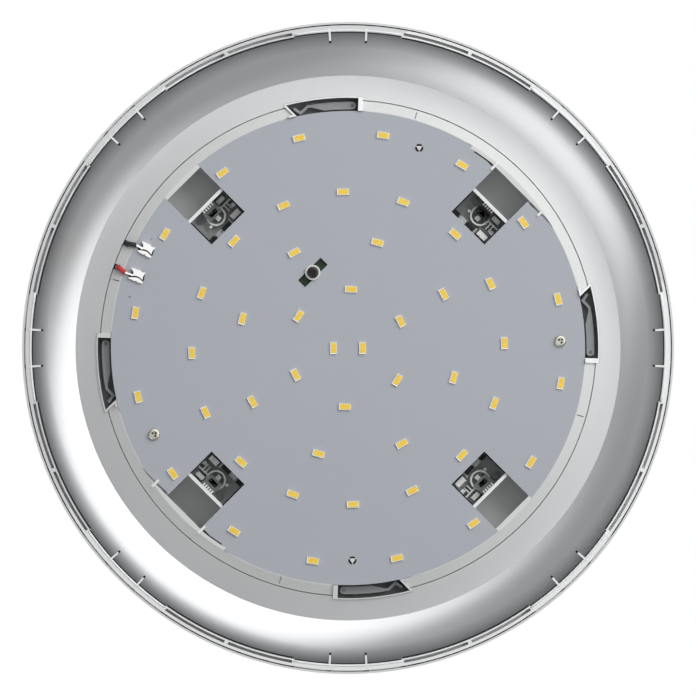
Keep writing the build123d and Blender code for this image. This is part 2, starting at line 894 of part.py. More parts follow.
# Latch springs, one in each bayonet slot
for turn in range(quarters):
    with BuildPart() as latch_spring:
        with BuildSketch(below(spring_top, turn * quarter_turn)):
            add(ring_piece(spring_inner, spring_outer, spring_arm_end, spring_pivot_angle))
            add(ring_piece(spring_outer - spring_neck, spring_outer, spring_neck_angle, spring_arm_end))
            with BuildLine():
                Polyline(
                    spot(spring_inner, spring_arm_end),
                    spot(spring_outer, spring_arm_end),
                    spot(spring_outer - spring_neck, spring_neck_angle),
                    close=True,
                )
            make_face()
            with BuildLine() as bend:
                Polyline(
                    spot(spring_outer - spring_neck / 2, spring_neck_angle),
                    spot(spring_outer - spring_leg / 2, spring_bend_angle),
                    spot(spring_nose_radius, spring_nose_angle),
                    spot(spring_outer - spring_leg / 2, spring_tip_angle),
                )
            trace(bend.line, line_width=spring_leg)
            with Locations(*[vertex.center() for vertex in bend.line.vertices()]):
                Circle(spring_leg / 2)
            with Locations(spot(spring_pivot_radius, spring_pivot_angle)):
                Circle((spring_outer - spring_inner) / 2)
                Circle(spring_pin + spring_pin_gap, mode=Mode.SUBTRACT)
        extrude(amount=-spring_height)
    latch_spring.part.label = f"latch_spring_{turn + 1}"
    export_step(latch_spring.part, f"parts/latch_spring_{turn + 1}.step")

# LED board
with BuildPart() as led_board:
    with BuildSketch(below(board_back_depth)):
        Circle(board_radius)
        with PolarLocations(0, quarters, start_angle=windows_turn):
            with Locations((window_near + board_radius / 2, 0)):
                Rectangle(board_radius, 2 * window_half, mode=Mode.SUBTRACT)
        with PolarLocations(0, 2, start_angle=windows_turn):
            add(chord_land(light_radius, window_far - chord_gap), mode=Mode.SUBTRACT)
        with Locations(Location((sensor_x, sensor_y), sensor_turn)):
            Rectangle(sensor_slot_length, sensor_slot_width, mode=Mode.SUBTRACT)
        for angle in board_screw_angles:
            with Locations(spot(fixings_radius, angle)):
                Circle(board_screw_shank + part_gap, mode=Mode.SUBTRACT)
        for angle in snap_pin_angles:
            with Locations(spot(fixings_radius, angle)):
                Circle(snap_pin_hole, mode=Mode.SUBTRACT)
    extrude(amount=-board_thickness)
led_board.part.label = "led_board"
export_step(led_board.part, "parts/led_board.step")

# LED bodies, each with a recess, and the phosphor that fills it
with BuildPart() as led_packages:
    with BuildSketch(below(board_front_depth)):
        for radius, count, first in led_ring_places():
            with PolarLocations(radius, count, start_angle=first):
                Rectangle(led_width, led_length)
    extrude(amount=-led_height)
    with BuildSketch(below(board_front_depth + led_height)):
        for radius, count, first in led_ring_places():
            with PolarLocations(radius, count, start_angle=first):
                Rectangle(phosphor_width, phosphor_length)
    extrude(amount=phosphor_depth, mode=Mode.SUBTRACT)
led_packages.part.label = "led_packages"
export_step(led_packages.part, "parts/led_packages.step")

with BuildPart() as led_phosphors:
    with BuildSketch(below(board_front_depth + led_height - phosphor_depth)):
        for radius, count, first in led_ring_places():
            with PolarLocations(radius, count, start_angle=first):
                Rectangle(phosphor_width, phosphor_length)
    extrude(amount=-phosphor_depth)
led_phosphors.part.label = "led_phosphors"
export_step(led_phosphors.part, "parts/led_phosphors.step")

# Pan-head screws of the board
with BuildPart() as board_screws:
    with BuildSketch(below(board_front_depth)):
        for angle in board_screw_angles:
            with Locations(spot(fixings_radius, angle)):
                Circle(board_screw_head)
    extrude(amount=-board_screw_head_height)
    fillet(board_screws.faces().sort_by(Axis.Z)[0:2].edges(), board_screw_head_height / 2)
    with BuildSketch(below(board_front_depth)):
        for angle in board_screw_angles:
            with Locations(spot(fixings_radius, angle)):
                Circle(board_screw_shank)
    extrude(amount=board_screw_length)
    with BuildSketch(below(board_front_depth + board_screw_head_height)):
        for angle in board_screw_angles:
            with Locations(spot(fixings_radius, angle)):
                Rectangle(cross_length, cross_width)
                Rectangle(cross_width, cross_length)
    extrude(amount=cross_depth, mode=Mode.SUBTRACT)
board_screws.part.label = "board_screws"
export_step(board_screws.part, "parts/board_screws.step")

# Snap pins of the board, with a head of three lobes
with BuildPart() as board_snap_pins:
    with BuildSketch(below(board_front_depth)):
        for angle in snap_pin_angles:
            with Locations(spot(fixings_radius, angle)):
                Circle(snap_pin_shank)
    extrude(amount=snap_pin_length)
    with BuildSketch(below(board_front_depth)):
        for angle in snap_pin_angles:
            with Locations(spot(fixings_radius, angle)):
                with PolarLocations(snap_pin_lobe, snap_pin_lobes, start_angle=quarter_turn):
                    Circle(snap_pin_lobe)
    extrude(amount=-snap_pin_head_height)
board_snap_pins.part.label = "board_snap_pins"
export_step(board_snap_pins.part, "parts/board_snap_pins.step")

# Small screws that hold the tray, seen in the windows
with BuildPart() as tray_screws:
    with BuildSketch(below(shelf_front_depth)):
        with PolarLocations(0, quarters, start_angle=windows_turn):
            with Locations((tray_screw_along, -tray_screw_across)):
                Circle(tray_screw_head)
    extrude(amount=-tray_screw_head_height)
    with BuildSketch(below(shelf_front_depth)):
        with PolarLocations(0, quarters, start_angle=windows_turn):
            with Locations((tray_screw_along, -tray_screw_across)):
                Circle(tray_screw_shank)
    extrude(amount=tray_screw_length)
    with BuildSketch(below(shelf_front_depth + tray_screw_head_height)):
        with PolarLocations(0, quarters, start_angle=windows_turn):
            with Locations((tray_screw_along, -tray_screw_across)):
                Rectangle(tray_screw_head + cross_width, cross_width)
                Rectangle(cross_width, tray_screw_head + cross_width)
    extrude(amount=cross_depth, mode=Mode.SUBTRACT)
tray_screws.part.label = "tray_screws"
export_step(tray_screws.part, "parts/tray_screws.step")

# White spacer blocks and black rubber pads on the shelves
with BuildPart() as spacer_blocks:
    with BuildSketch(below(shelf_front_depth)):
        with PolarLocations(0, quarters, start_angle=windows_turn):
            with Locations((spacer_along, spacer_across)):
                Rectangle(spacer_length, spacer_width)
    extrude(amount=-spacer_height)
spacer_blocks.part.label = "spacer_blocks"
export_step(spacer_blocks.part, "parts/spacer_blocks.step")

with BuildPart() as window_pads:
    with BuildSketch(below(shelf_front_depth)):
        with PolarLocations(0, quarters, start_angle=windows_turn):
            with Locations((window_near + pad_length / 2, -pad_across)):
                Rectangle(pad_length, pad_width)
            with Locations((window_near + middle_pad_length / 2, 0)):
                Rectangle(middle_pad_length, middle_pad_width)
    extrude(amount=-pad_height)
window_pads.part.label = "window_pads"
export_step(window_pads.part, "parts/window_pads.step")

# Oval rubber grommet on the tower in the first window
with BuildPart() as oval_grommet:
    with BuildSketch(below(shelf_front_depth + tower_height, windows_turn)):
        with Locations((key_slot_along, 0)):
            SlotOverall(oval_length, oval_width, rotation=quarter_turn)
            Rectangle(key_slot_width, key_slot_length, mode=Mode.SUBTRACT)
    extrude(amount=-oval_height)
oval_grommet.part.label = "oval_grommet"
export_step(oval_grommet.part, "parts/oval_grommet.step")

# Terminals of the LED leads
for name, angle in (("negative", negative_angle), ("positive", positive_angle)):
    with BuildPart() as terminal:
        with BuildSketch(below(board_front_depth, front_mark + angle)):
            with Locations((terminal_far - terminal_length / 2, 0)):
                Rectangle(terminal_length, terminal_width)
        extrude(amount=-terminal_base)
        with BuildSketch(below(board_front_depth + terminal_base, front_mark + angle)):
            with Locations((terminal_far - terminal_length / 2, 0)):
                Rectangle(terminal_length - terminal_tunnel_inset, terminal_tunnel)
        extrude(amount=-(terminal_height - terminal_base))
        with BuildSketch(below(board_front_depth, front_mark + angle)):
            with Locations((terminal_far, 0), (terminal_far - terminal_length, 0)):
                Circle(terminal_waist)
        extrude(amount=-terminal_height, mode=Mode.SUBTRACT)
        with BuildSketch(facing_out(terminal_far - terminal_length / 2, angle, wire_depth)):
            Circle(wire_core + close_gap)
        extrude(amount=terminal_length, mode=Mode.SUBTRACT)
    terminal.part.label = f"{name}_terminal"
    export_step(terminal.part, f"parts/{name}_terminal.step")

# Insulated leads, from the board's rim down the ring and in to the power supply
for name, angle, lean, lead_y, step in (
    ("negative", negative_angle, -lead_lean, output_y - output_pitch / 2, lead_turn_step),
    ("positive", positive_angle, lead_lean, output_y + output_pitch / 2, 0),
):
    rise_x, rise_y = spot(wire_rise_radius, angle + lean)
    end_x, end_y = spot(wire_end_radius, angle)
    inner_x, inner_y = spot(wire_inner_radius, angle + lean)
    route_points = [
        (end_x, end_y, -wire_depth),
        (rise_x, rise_y, -wire_depth),
        (rise_x, rise_y, -wire_low_depth),
        (inner_x, inner_y, -wire_low_depth),
        (lead_turn_x + step, lead_y, -wire_low_depth),
        (case_x - case_length / 2 - output_block_length, lead_y, -wire_low_depth),
    ]
    with BuildPart() as wire:
        with BuildLine() as route:
            FilletPolyline(*route_points, radius=bend_radii(route_points))
        with BuildSketch(Plane(origin=route.line @ 0, z_dir=route.line % 0)):
            Circle(wire_radius)
        sweep()
    wire.part.label = f"{name}_wire"
    export_step(wire.part, f"parts/{name}_wire.step")

# Bare ends of both leads
with BuildPart() as wire_ends:
    for angle in (negative_angle, positive_angle):
        with BuildSketch(facing_out(terminal_far - wire_core_reach, angle, wire_depth)):
            Circle(wire_core)
        extrude(amount=wire_end_radius - terminal_far + wire_core_reach - part_gap)
wire_ends.part.label = "wire_ends"
export_step(wire_ends.part, "parts/wire_ends.step")

# Dusk sensor: board, stem with its flange, and lens
with BuildPart() as sensor_board:
    with BuildSketch(below(sensor_board_depth)):
        with Locations((sensor_x, sensor_y)):
            Rectangle(sensor_board_length, sensor_board_width)
    extrude(amount=-circuit_board)
sensor_board.part.label = "sensor_board"
export_step(sensor_board.part, "parts/sensor_board.step")

with BuildPart() as sensor_collar:
    with BuildSketch(below(sensor_board_depth + circuit_board)):
        with Locations((sensor_x, sensor_y)):
            Circle(sensor_stem)
    extrude(amount=-(board_front_depth - sensor_board_depth - circuit_board))
    with BuildSketch(below(board_front_depth)):
        with Locations((sensor_x, sensor_y)):
            Circle(sensor_flange)
    extrude(amount=-sensor_flange_height)
    with BuildSketch(below(board_front_depth + sensor_flange_height)):
        with Locations((sensor_x, sensor_y)):
            Circle(sensor_lens_radius)
    extrude(amount=sensor_lens_seat, mode=Mode.SUBTRACT)
sensor_collar.part.label = "sensor_collar"
export_step(sensor_collar.part, "parts/sensor_collar.step")

with BuildPart() as sensor_dome:
    with BuildSketch(below(board_front_depth + sensor_flange_height - sensor_lens_seat)):
        with Locations((sensor_x, sensor_y)):
            Circle(sensor_lens_radius)
    extrude(amount=-(sensor_lens_seat + sensor_lens_height))
    fillet(sensor_dome.faces().sort_by(Axis.Z)[0].edges(), sensor_lens_edge)
sensor_dome.part.label = "sensor_lens"
export_step(sensor_dome.part, "parts/sensor_lens.step")

# Case of the power supply
case_floor_depth = tray_floor_depth + case_wall
case_mouth_depth = tray_floor_depth + case_height - case_wall
with BuildPart() as driver_case:
    with BuildSketch(below(tray_floor_depth)):
        with Locations((case_x, case_y)):
            RectangleRounded(case_length, case_width, case_corner)
    extrude(amount=-(case_height - case_wall))
    with BuildSketch(below(case_floor_depth)):
        with Locations((case_x, case_y)):
            Rectangle(case_length - 2 * case_wall, case_width - 2 * case_wall)
    extrude(amount=-case_height, mode=Mode.SUBTRACT)
    with BuildSketch(below(case_floor_depth)):
        with Locations((case_x, case_y)):
            with GridLocations(
                case_length - 2 * (case_wall + driver_post_inset),
                case_width - 2 * (case_wall + driver_post_inset),
                2,
                2,
            ):
                Circle(driver_post_radius)
    extrude(amount=-driver_board_lift)
driver_case.part.label = "driver_case"
export_step(driver_case.part, "parts/driver_case.step")

with BuildPart() as driver_lid:
    with BuildSketch(below(case_mouth_depth)):
        with Locations((case_x, case_y)):
            RectangleRounded(case_length, case_width, case_corner)
    extrude(amount=-case_wall)
    with BuildSketch(below(case_mouth_depth)):
        with Locations((case_x, case_y)):
            Rectangle(
                case_length - 2 * (case_wall + part_gap), case_width - 2 * (case_wall + part_gap)
            )
            Rectangle(
                case_length - 2 * (case_wall + part_gap + lid_lip),
                case_width - 2 * (case_wall + part_gap + lid_lip),
                mode=Mode.SUBTRACT,
            )
    extrude(amount=lid_lip_height)
    with BuildSketch(below(case_mouth_depth)):
        with Locations((case_x, case_y)):
            with GridLocations(vent_pitch, 0, vent_count, 1):
                SlotOverall(vent_length, vent_width, rotation=quarter_turn)
    extrude(amount=-case_wall, mode=Mode.SUBTRACT)
driver_lid.part.label = "driver_lid"
export_step(driver_lid.part, "parts/driver_lid.step")

driver_board_depth = case_floor_depth + driver_board_lift
parts_depth = driver_board_depth + circuit_board
with BuildPart() as driver_board:
    with BuildSketch(below(driver_board_depth)):
        with Locations((case_x, case_y)):
            Rectangle(
                case_length - 2 * (case_wall + driver_board_gap),
                case_width - 2 * (case_wall + driver_board_gap),
            )
    extrude(amount=-circuit_board)
driver_board.part.label = "driver_board"
export_step(driver_board.part, "parts/driver_board.step")

# Transformer, its winding round the middle limb of the core
winding_reach = transformer_middle / 2 + winding_gap + winding_build
winding_top = parts_depth
winding_middle = winding_top + winding_build + winding_gap + transformer_core_height / 2
with BuildPart() as transformer_core:
    with BuildSketch(below(winding_middle - transformer_core_height / 2)):
        with Locations((transformer_x, case_y)):
            Rectangle(transformer_length, transformer_width)
            with Locations(
                ((transformer_length - 2 * transformer_limb + transformer_middle) / 4, 0),
                (-(transformer_length - 2 * transformer_limb + transformer_middle) / 4, 0),
            ):
                Rectangle(
                    (transformer_length - 2 * transformer_limb - transformer_middle) / 2,
                    transformer_width - 2 * transformer_limb,
                    mode=Mode.SUBTRACT,
                )
    extrude(amount=-transformer_core_height)
transformer_core.part.label = "transformer_core"
export_step(transformer_core.part, "parts/transformer_core.step")

with BuildPart() as transformer_winding:
    with BuildSketch(
        Plane(
            origin=(transformer_x, case_y, -winding_middle),
            x_dir=(1, 0, 0),
            z_dir=(0, 1, 0),
        )
    ):
        RectangleRounded(
            2 * winding_reach,
            transformer_core_height + 2 * (winding_gap + winding_build),
            winding_build,
        )
        Rectangle(
            transformer_middle + 2 * winding_gap,
            transformer_core_height + 2 * winding_gap,
            mode=Mode.SUBTRACT,
        )
    extrude(amount=transformer_width / 2 - transformer_limb - winding_gap, both=True)
transformer_winding.part.label = "transformer_winding"
export_step(transformer_winding.part, "parts/transformer_winding.step")

with BuildPart() as capacitors:
    with BuildSketch(below(parts_depth)):
        with Locations((capacitor_x, case_y)):
            with GridLocations(0, capacitor_spacing, 1, 2):
                Circle(capacitor_radius)
    extrude(amount=-capacitor_height)
capacitors.part.label = "capacitors"
export_step(capacitors.part, "parts/capacitors.step")

with BuildPart() as film_capacitors:
    with BuildSketch(below(parts_depth)):
        with Locations((film_x, case_y)):
            with GridLocations(0, film_spacing, 1, 2):
                Rectangle(film_length, film_width)
    extrude(amount=-film_height)
film_capacitors.part.label = "film_capacitors"
export_step(film_capacitors.part, "parts/film_capacitors.step")

with BuildPart() as choke:
    with BuildSketch(below(parts_depth)):
        with Locations((choke_x, case_y)):
            Circle(choke_radius)
    extrude(amount=-choke_height)
    with BuildSketch(below(parts_depth + choke_rim)):
        with Locations((choke_x, case_y)):
            Circle(choke_radius)
            Circle(choke_waist, mode=Mode.SUBTRACT)
    extrude(amount=-(choke_height - 2 * choke_rim), mode=Mode.SUBTRACT)
choke.part.label = "choke"
export_step(choke.part, "parts/choke.step")

# Push-in blocks on the ends of the case
with BuildPart() as output_block:
    with BuildSketch(below(output_block_depth)):
        with Locations((case_x - case_length / 2 - output_block_length / 2, output_y)):
            Rectangle(output_block_length, output_block_width)
    extrude(amount=-output_block_height)
output_block.part.label = "output_block"
export_step(output_block.part, "parts/output_block.step")

with BuildPart() as input_block:
    with BuildSketch(below(input_block_depth)):
        with Locations((input_block_x, case_y + case_width / 2 + input_block_width / 2)):
            Rectangle(input_block_length, input_block_width)
    extrude(amount=-input_block_height)
input_block.part.label = "input_block"
export_step(input_block.part, "parts/input_block.step")

# Mains terminal with its screws, and the two leads on to the power supply
mains_front_depth = tray_floor_depth + mains_height
with BuildPart() as mains_terminal:
    with BuildSketch(below(tray_floor_depth)):
        with Locations((mains_x, mains_y)):
            Rectangle(mains_length, mains_width)
    extrude(amount=-mains_height)
    with BuildSketch(below(mains_front_depth)):
        with Locations((mains_x, mains_y)):
            with GridLocations(mains_pitch, 0, mains_poles, 1):
                Circle(mains_screw_radius + mains_screw_gap)
    extrude(amount=mains_screw_height, mode=Mode.SUBTRACT)
    with BuildSketch(
        Plane(origin=(mains_x, mains_y + mains_width / 2, -lead_depth), x_dir=(1, 0, 0), z_dir=(0, -1, 0))
    ):
        with GridLocations(mains_pitch, 0, mains_poles, 1):
            Circle(mains_bore)
    extrude(amount=mains_width / 2, mode=Mode.SUBTRACT)
mains_terminal.part.label = "mains_terminal"
export_step(mains_terminal.part, "parts/mains_terminal.step")

with BuildPart() as mains_terminal_screws:
    with BuildSketch(below(mains_front_depth - mains_screw_height)):
        with Locations((mains_x, mains_y)):
            with GridLocations(mains_pitch, 0, mains_poles, 1):
                Circle(mains_screw_radius)
    extrude(amount=-(mains_screw_height - mains_screw_slot))
    with BuildSketch(below(mains_front_depth - mains_screw_slot)):
        with Locations((mains_x, mains_y)):
            with GridLocations(mains_pitch, 0, mains_poles, 1):
                Rectangle(2 * mains_screw_radius, mains_screw_slot)
    extrude(amount=mains_screw_slot, mode=Mode.SUBTRACT)
mains_terminal_screws.part.label = "mains_terminal_screws"
export_step(mains_terminal_screws.part, "parts/mains_terminal_screws.step")

with BuildPart() as supply_leads:
    with BuildSketch(
        Plane(
            origin=(mains_x, case_y + case_width / 2 + input_block_width, -lead_depth),
            x_dir=(1, 0, 0),
            z_dir=(0, 1, 0),
        )
    ):
        with GridLocations(mains_pitch, 0, 2, 1):
            Circle(lead_radius)
    extrude(amount=mains_y - mains_width / 2 - case_y - case_width / 2 - input_block_width)
supply_leads.part.label = "supply_leads"
export_step(supply_leads.part, "parts/supply_leads.step")

# Rubber grommet of the supply cable
with BuildPart() as cable_grommet:
    with BuildSketch(below(0)):
        with Locations((entry_x, entry_y)):
            Circle(entry_hole_radius - close_gap)
    extrude(amount=-shell_floor)
    with BuildSketch(below(shell_floor)):
        with Locations((entry_x, entry_y)):
            Circle(grommet_flange_radius)
    extrude(amount=-grommet_flange)
    with BuildSketch(below(0)):
        with Locations((entry_x, entry_y)):
            Circle(cable_radius)
    extrude(amount=-(shell_floor + grommet_flange), mode=Mode.SUBTRACT)
cable_grommet.part.label = "cable_grommet"
export_step(cable_grommet.part, "parts/cable_grommet.step")

# Blind plug of the side cable entry
with BuildPart() as side_entry_plug:
    with BuildSketch(facing_out(neck_radius + side_boss_height, 0, side_entry_depth)):
        Circle(plug_flange_radius)
    extrude(amount=plug_flange)
    with BuildSketch(facing_out(neck_radius + side_boss_height, 0, side_entry_depth)):
        Circle(side_entry_radius - close_gap)
        Circle(side_entry_radius - close_gap - plug_wall, mode=Mode.SUBTRACT)
    extrude(amount=-plug_length)
side_entry_plug.part.label = "side_entry_plug"
export_step(side_entry_plug.part, "parts/side_entry_plug.step")

# Foam gasket between the shell and the ceiling
with BuildPart() as ceiling_gasket:
    with BuildSketch(below(0)):
        Circle(gasket_radius + gasket_width / 2 - close_gap)
        Circle(gasket_radius - gasket_width / 2 + close_gap, mode=Mode.SUBTRACT)
    extrude(amount=-gasket_thickness)
ceiling_gasket.part.label = "ceiling_gasket"
export_step(ceiling_gasket.part, "parts/ceiling_gasket.step")
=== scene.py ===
# %% [markdown]
# # A round outdoor ceiling light without its diffuser
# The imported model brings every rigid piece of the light, already in its place. This lesson
# gives each piece the finish of the real one, adds the small forms that a solid model leaves
# out, and lights the whole as in a studio. All lengths are in metres and +Z points up at the
# ceiling, so the light hangs down and we look up at it.

import bpy
import bmesh
from math import atan2, cos, pi, radians, sin
from mathutils import Matrix, Vector


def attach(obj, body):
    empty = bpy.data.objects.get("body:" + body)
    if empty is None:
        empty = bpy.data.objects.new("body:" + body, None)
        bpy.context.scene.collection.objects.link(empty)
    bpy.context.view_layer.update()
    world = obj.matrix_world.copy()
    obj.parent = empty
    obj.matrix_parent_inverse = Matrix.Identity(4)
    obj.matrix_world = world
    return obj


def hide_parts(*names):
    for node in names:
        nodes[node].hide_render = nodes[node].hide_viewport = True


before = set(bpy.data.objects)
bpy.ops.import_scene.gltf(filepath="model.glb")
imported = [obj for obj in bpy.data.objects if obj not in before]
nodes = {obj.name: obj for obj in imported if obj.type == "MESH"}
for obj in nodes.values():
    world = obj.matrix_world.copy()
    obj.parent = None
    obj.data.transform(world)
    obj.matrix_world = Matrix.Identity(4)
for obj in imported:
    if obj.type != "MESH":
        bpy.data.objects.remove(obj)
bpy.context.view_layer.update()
MM = 0.001
BODY = "base"

# %% [markdown]
# ## Colours and nodes
# A designer notes colours as hex values, which are sRGB. Blender's shaders expect linear
# light, so one function turns the one into the other. A second small function adds any
# shader node with its settings, and links whatever is given as a socket.

# %% Helpers for colour and nodes
def linear(hex_colour, alpha=1.0):
    """An sRGB hex colour as linear red, green, blue and alpha."""
    shares = [int(hex_colour[place:place + 2], 16) / 255 for place in (1, 3, 5)]
    bent = [s / 12.92 if s <= 0.04045 else ((s + 0.055) / 1.055) ** 2.4 for s in shares]
    return (*bent, alpha)


def add_node(tree, kind, inputs=None, **settings):
    """One node with its settings. An input gets a value, or a link where a socket is given."""
    made = tree.nodes.new(kind)
    for name, value in settings.items():
        setattr(made, name, value)
    for name, value in (inputs or {}).items():
        if isinstance(value, bpy.types.NodeSocket):
            tree.links.new(value, made.inputs[name])
        else:
            made.inputs[name].default_value = value
    return made


def new_finish(name):
    """An empty material with its output, and the coordinates that its patterns use."""
    finish = bpy.data.materials.new(name)
    finish.use_nodes = True
    tree = finish.node_tree
    tree.nodes.clear()
    output = add_node(tree, "ShaderNodeOutputMaterial")
    place = add_node(tree, "ShaderNodeTexCoord").outputs["Object"]
    return finish, tree, output, place


# %% [markdown]
# ## Moulded plastic
# Nearly everything here is injection moulded. The mould gives plastic a very fine grain, and
# the flow of the melt leaves faint clouds in the colour. Both come from noise: a fine one
# bends the surface a little, and a broad one moves the colour between two near tones. The
# real grain of 0.1 mm would vanish between pixels, so it is drawn at several times that.

# %% Moulded plastic
PLASTIC_IOR = 1.5


def moulded(name, dark, light, roughness, grain_mm=0.7, relief_mm=0.004, cloud_mm=45):
    """A moulded plastic whose colour drifts between two tones, with a fine grain."""
    finish, tree, output, place = new_finish(name)
    cloud = add_node(tree, "ShaderNodeTexNoise",
                     {"Vector": place, "Scale": 1 / (cloud_mm * MM), "Detail": 2.0})
    tone = add_node(tree, "ShaderNodeMix",
                    {"Factor": cloud.outputs["Fac"], "A": linear(dark), "B": linear(light)},
                    data_type="RGBA")
    grain = add_node(tree, "ShaderNodeTexNoise",
                     {"Vector": place, "Scale": 1 / (grain_mm * MM), "Detail": 3.0})
    relief = add_node(tree, "ShaderNodeBump",
                      {"Height": grain.outputs["Fac"], "Distance": relief_mm * MM, "Strength": 1.0})
    shader = add_node(tree, "ShaderNodeBsdfPrincipled",
                      {"Base Color": tone.outputs["Result"], "Roughness": roughness, "IOR": PLASTIC_IOR,
                       "Normal": relief.outputs["Normal"]})
    tree.links.new(shader.outputs["BSDF"], output.inputs["Surface"])
    return finish


# The big moulding is a satin white, which spreads the lamps into broad soft lights
shell_finish = moulded("satin_moulded_white_asa", "#DADBDC", "#DFE0E1", 0.5)
# Rib tops, the inner lip and other bright edges are smoother, and their brighter white is painted highlight
highlight_white_finish = moulded("painted_highlight_white_asa_lip", "#F4F5F6", "#F8F9F9", 0.28)
# The tray is a duller white, faintly green
tray_finish = moulded("satin_moulded_polycarbonate", "#DADCDB", "#DFE1E0", 0.5)
# Inside the windows the tray is shaded; the grey of the window floors and the darker grey of the towers are
# painted shade
shade_grey_cell_finish = moulded("painted_shade_grey_cell", "#A9ABAC", "#B1B3B4", 0.5)
shade_dark_tower_finish = moulded("painted_shade_dark_tower", "#66686A", "#6E7072", 0.5)
latch_finish = moulded("satin_acetal_latch", "#8B8D8F", "#959799", 0.4)
nylon_finish = moulded("satin_white_nylon", "#DADAD6", "#E4E4E0", 0.45)
polyamide_finish = moulded("matte_polyamide_terminal", "#D5D5D0", "#DEDEDA", 0.5)
driver_finish = moulded("fine_matte_polycarbonate_case", "#D9D9D6", "#E2E2DF", 0.55)
plug_finish = moulded("satin_grey_polypropylene", "#B6B7B9", "#C0C1C3", 0.45)
black_insulation_finish = moulded("black_pvc_insulation", "#070708", "#101011", 0.5)
red_insulation_finish = moulded("red_pvc_insulation", "#B0141C", "#C3202A", 0.35)
supply_finish = moulded("brown_pvc_insulation", "#5C3A22", "#684329", 0.4)
# This black serves the real rubber parts and the black sheets and discs that paint shade
black_rubber_and_shade_finish = moulded("matte_black_epdm_rubber_and_painted_shade", "#101011", "#1C1C1D", 0.75, relief_mm=0.01)
grey_foam_finish = moulded("cellular_grey_epdm_foam", "#4E4F52", "#66676A", 0.9, grain_mm=1.1,
                           relief_mm=0.12)
white_foam_finish = moulded("white_silicone_spacer", "#F4F4F2", "#FAFAF8", 0.6, relief_mm=0.02)
lens_finish = moulded("smoked_polycarbonate_lens", "#1D1B1C", "#2A2829", 0.08, relief_mm=0.0005)
led_body_finish = moulded("white_ppa_led_body", "#F2F1EA", "#F8F7F0", 0.35)
laminate_finish = moulded("green_glass_epoxy_board", "#1C5A35", "#276B42", 0.35)
paper_laminate_finish = moulded("tan_paper_phenolic_board", "#A8874E", "#B8965A", 0.5)
ferrite_finish = moulded("sintered_dark_ferrite", "#2B2B2D", "#37373A", 0.6, relief_mm=0.02)
tape_finish = moulded("yellow_polyester_tape", "#D6B43A", "#E2C24A", 0.25)
sleeve_finish = moulded("black_pet_capacitor_sleeve", "#17191F", "#22252D", 0.2)
film_finish = moulded("red_epoxy_dip", "#8E2A1C", "#A03524", 0.2, grain_mm=2.5, relief_mm=0.05)
print("moulded finishes", len(bpy.data.materials))

# %% [markdown]
# ## Silicone with phosphor
# The yellow windows of the LEDs are clear silicone full of phosphor powder. It looks matte
# and slightly cloudy, lighter at the middle where the chip sits.

# %% Phosphor
phosphor_finish = moulded("yellow_phosphor_silicone", "#FBC92C", "#FFE064", 0.4, cloud_mm=2.2)
print("phosphor", phosphor_finish.name)

# %% [markdown]
# ## Solder mask
# The board is aluminium under a white solder mask that reads as a cool grey in this light.
# The mask is printed and baked, which leaves a soft orange peel. The copper below it shows as
# areas that stand a hair proud, so a very faint relief follows broad cells.

# %% Solder mask
board_finish = moulded("white_solder_mask_on_aluminium", "#ADB1B9", "#B0B4BC", 0.5, grain_mm=1.4,
                       relief_mm=0.004, cloud_mm=70)
print("solder mask", board_finish.name)

# %% [markdown]
# ## Plated metal
# The board's screws are zinc plated, the small ones in the windows are phosphated and the
# clips are tinned. All are metals, so metallic is 1 and the colour is the metal's own. The
# plating dulls unevenly, so noise moves the roughness.

# %% Plated metal
def plated(name, colour, smooth, rough, grain_mm=0.5, relief_mm=0.006):
    """A bare plated metal whose roughness drifts between two values."""
    finish, tree, output, place = new_finish(name)
    grain = add_node(tree, "ShaderNodeTexNoise",
                     {"Vector": place, "Scale": 1 / (grain_mm * MM), "Detail": 4.0})
    spread = add_node(tree, "ShaderNodeMapRange",
                      {"Value": grain.outputs["Fac"], "To Min": smooth, "To Max": rough})
    relief = add_node(tree, "ShaderNodeBump",
                      {"Height": grain.outputs["Fac"], "Distance": relief_mm * MM, "Strength": 1.0})
    shader = add_node(tree, "ShaderNodeBsdfPrincipled",
                      {"Base Color": linear(colour), "Metallic": 1.0, "Roughness": spread.outputs["Result"],
                       "Normal": relief.outputs["Normal"]})
    tree.links.new(shader.outputs["BSDF"], output.inputs["Surface"])
    return finish


zinc_finish = plated("yellow_zinc_plated_steel", "#C3C3B6", 0.22, 0.38)
tin_finish = plated("bright_tinned_brass", "#FAFAF8", 0.25, 0.42)
screw_finish = plated("black_phosphated_steel", "#5E5F61", 0.35, 0.5)
# The tongue's near black is painted shade, seen through the clip's gaps
shade_dark_tongue_finish = plated("painted_shade_dark_spring_steel", "#2A2A2B", 0.45, 0.6)
copper_finish = plated("enamelled_copper_wire", "#B8703C", 0.25, 0.4, grain_mm=0.35, relief_mm=0.03)
print("all finishes", len(bpy.data.materials))

# %% [markdown]
# ## One finish for each piece
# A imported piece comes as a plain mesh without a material. A table gives each one its finish,
# and the print shows whether a piece was forgotten.

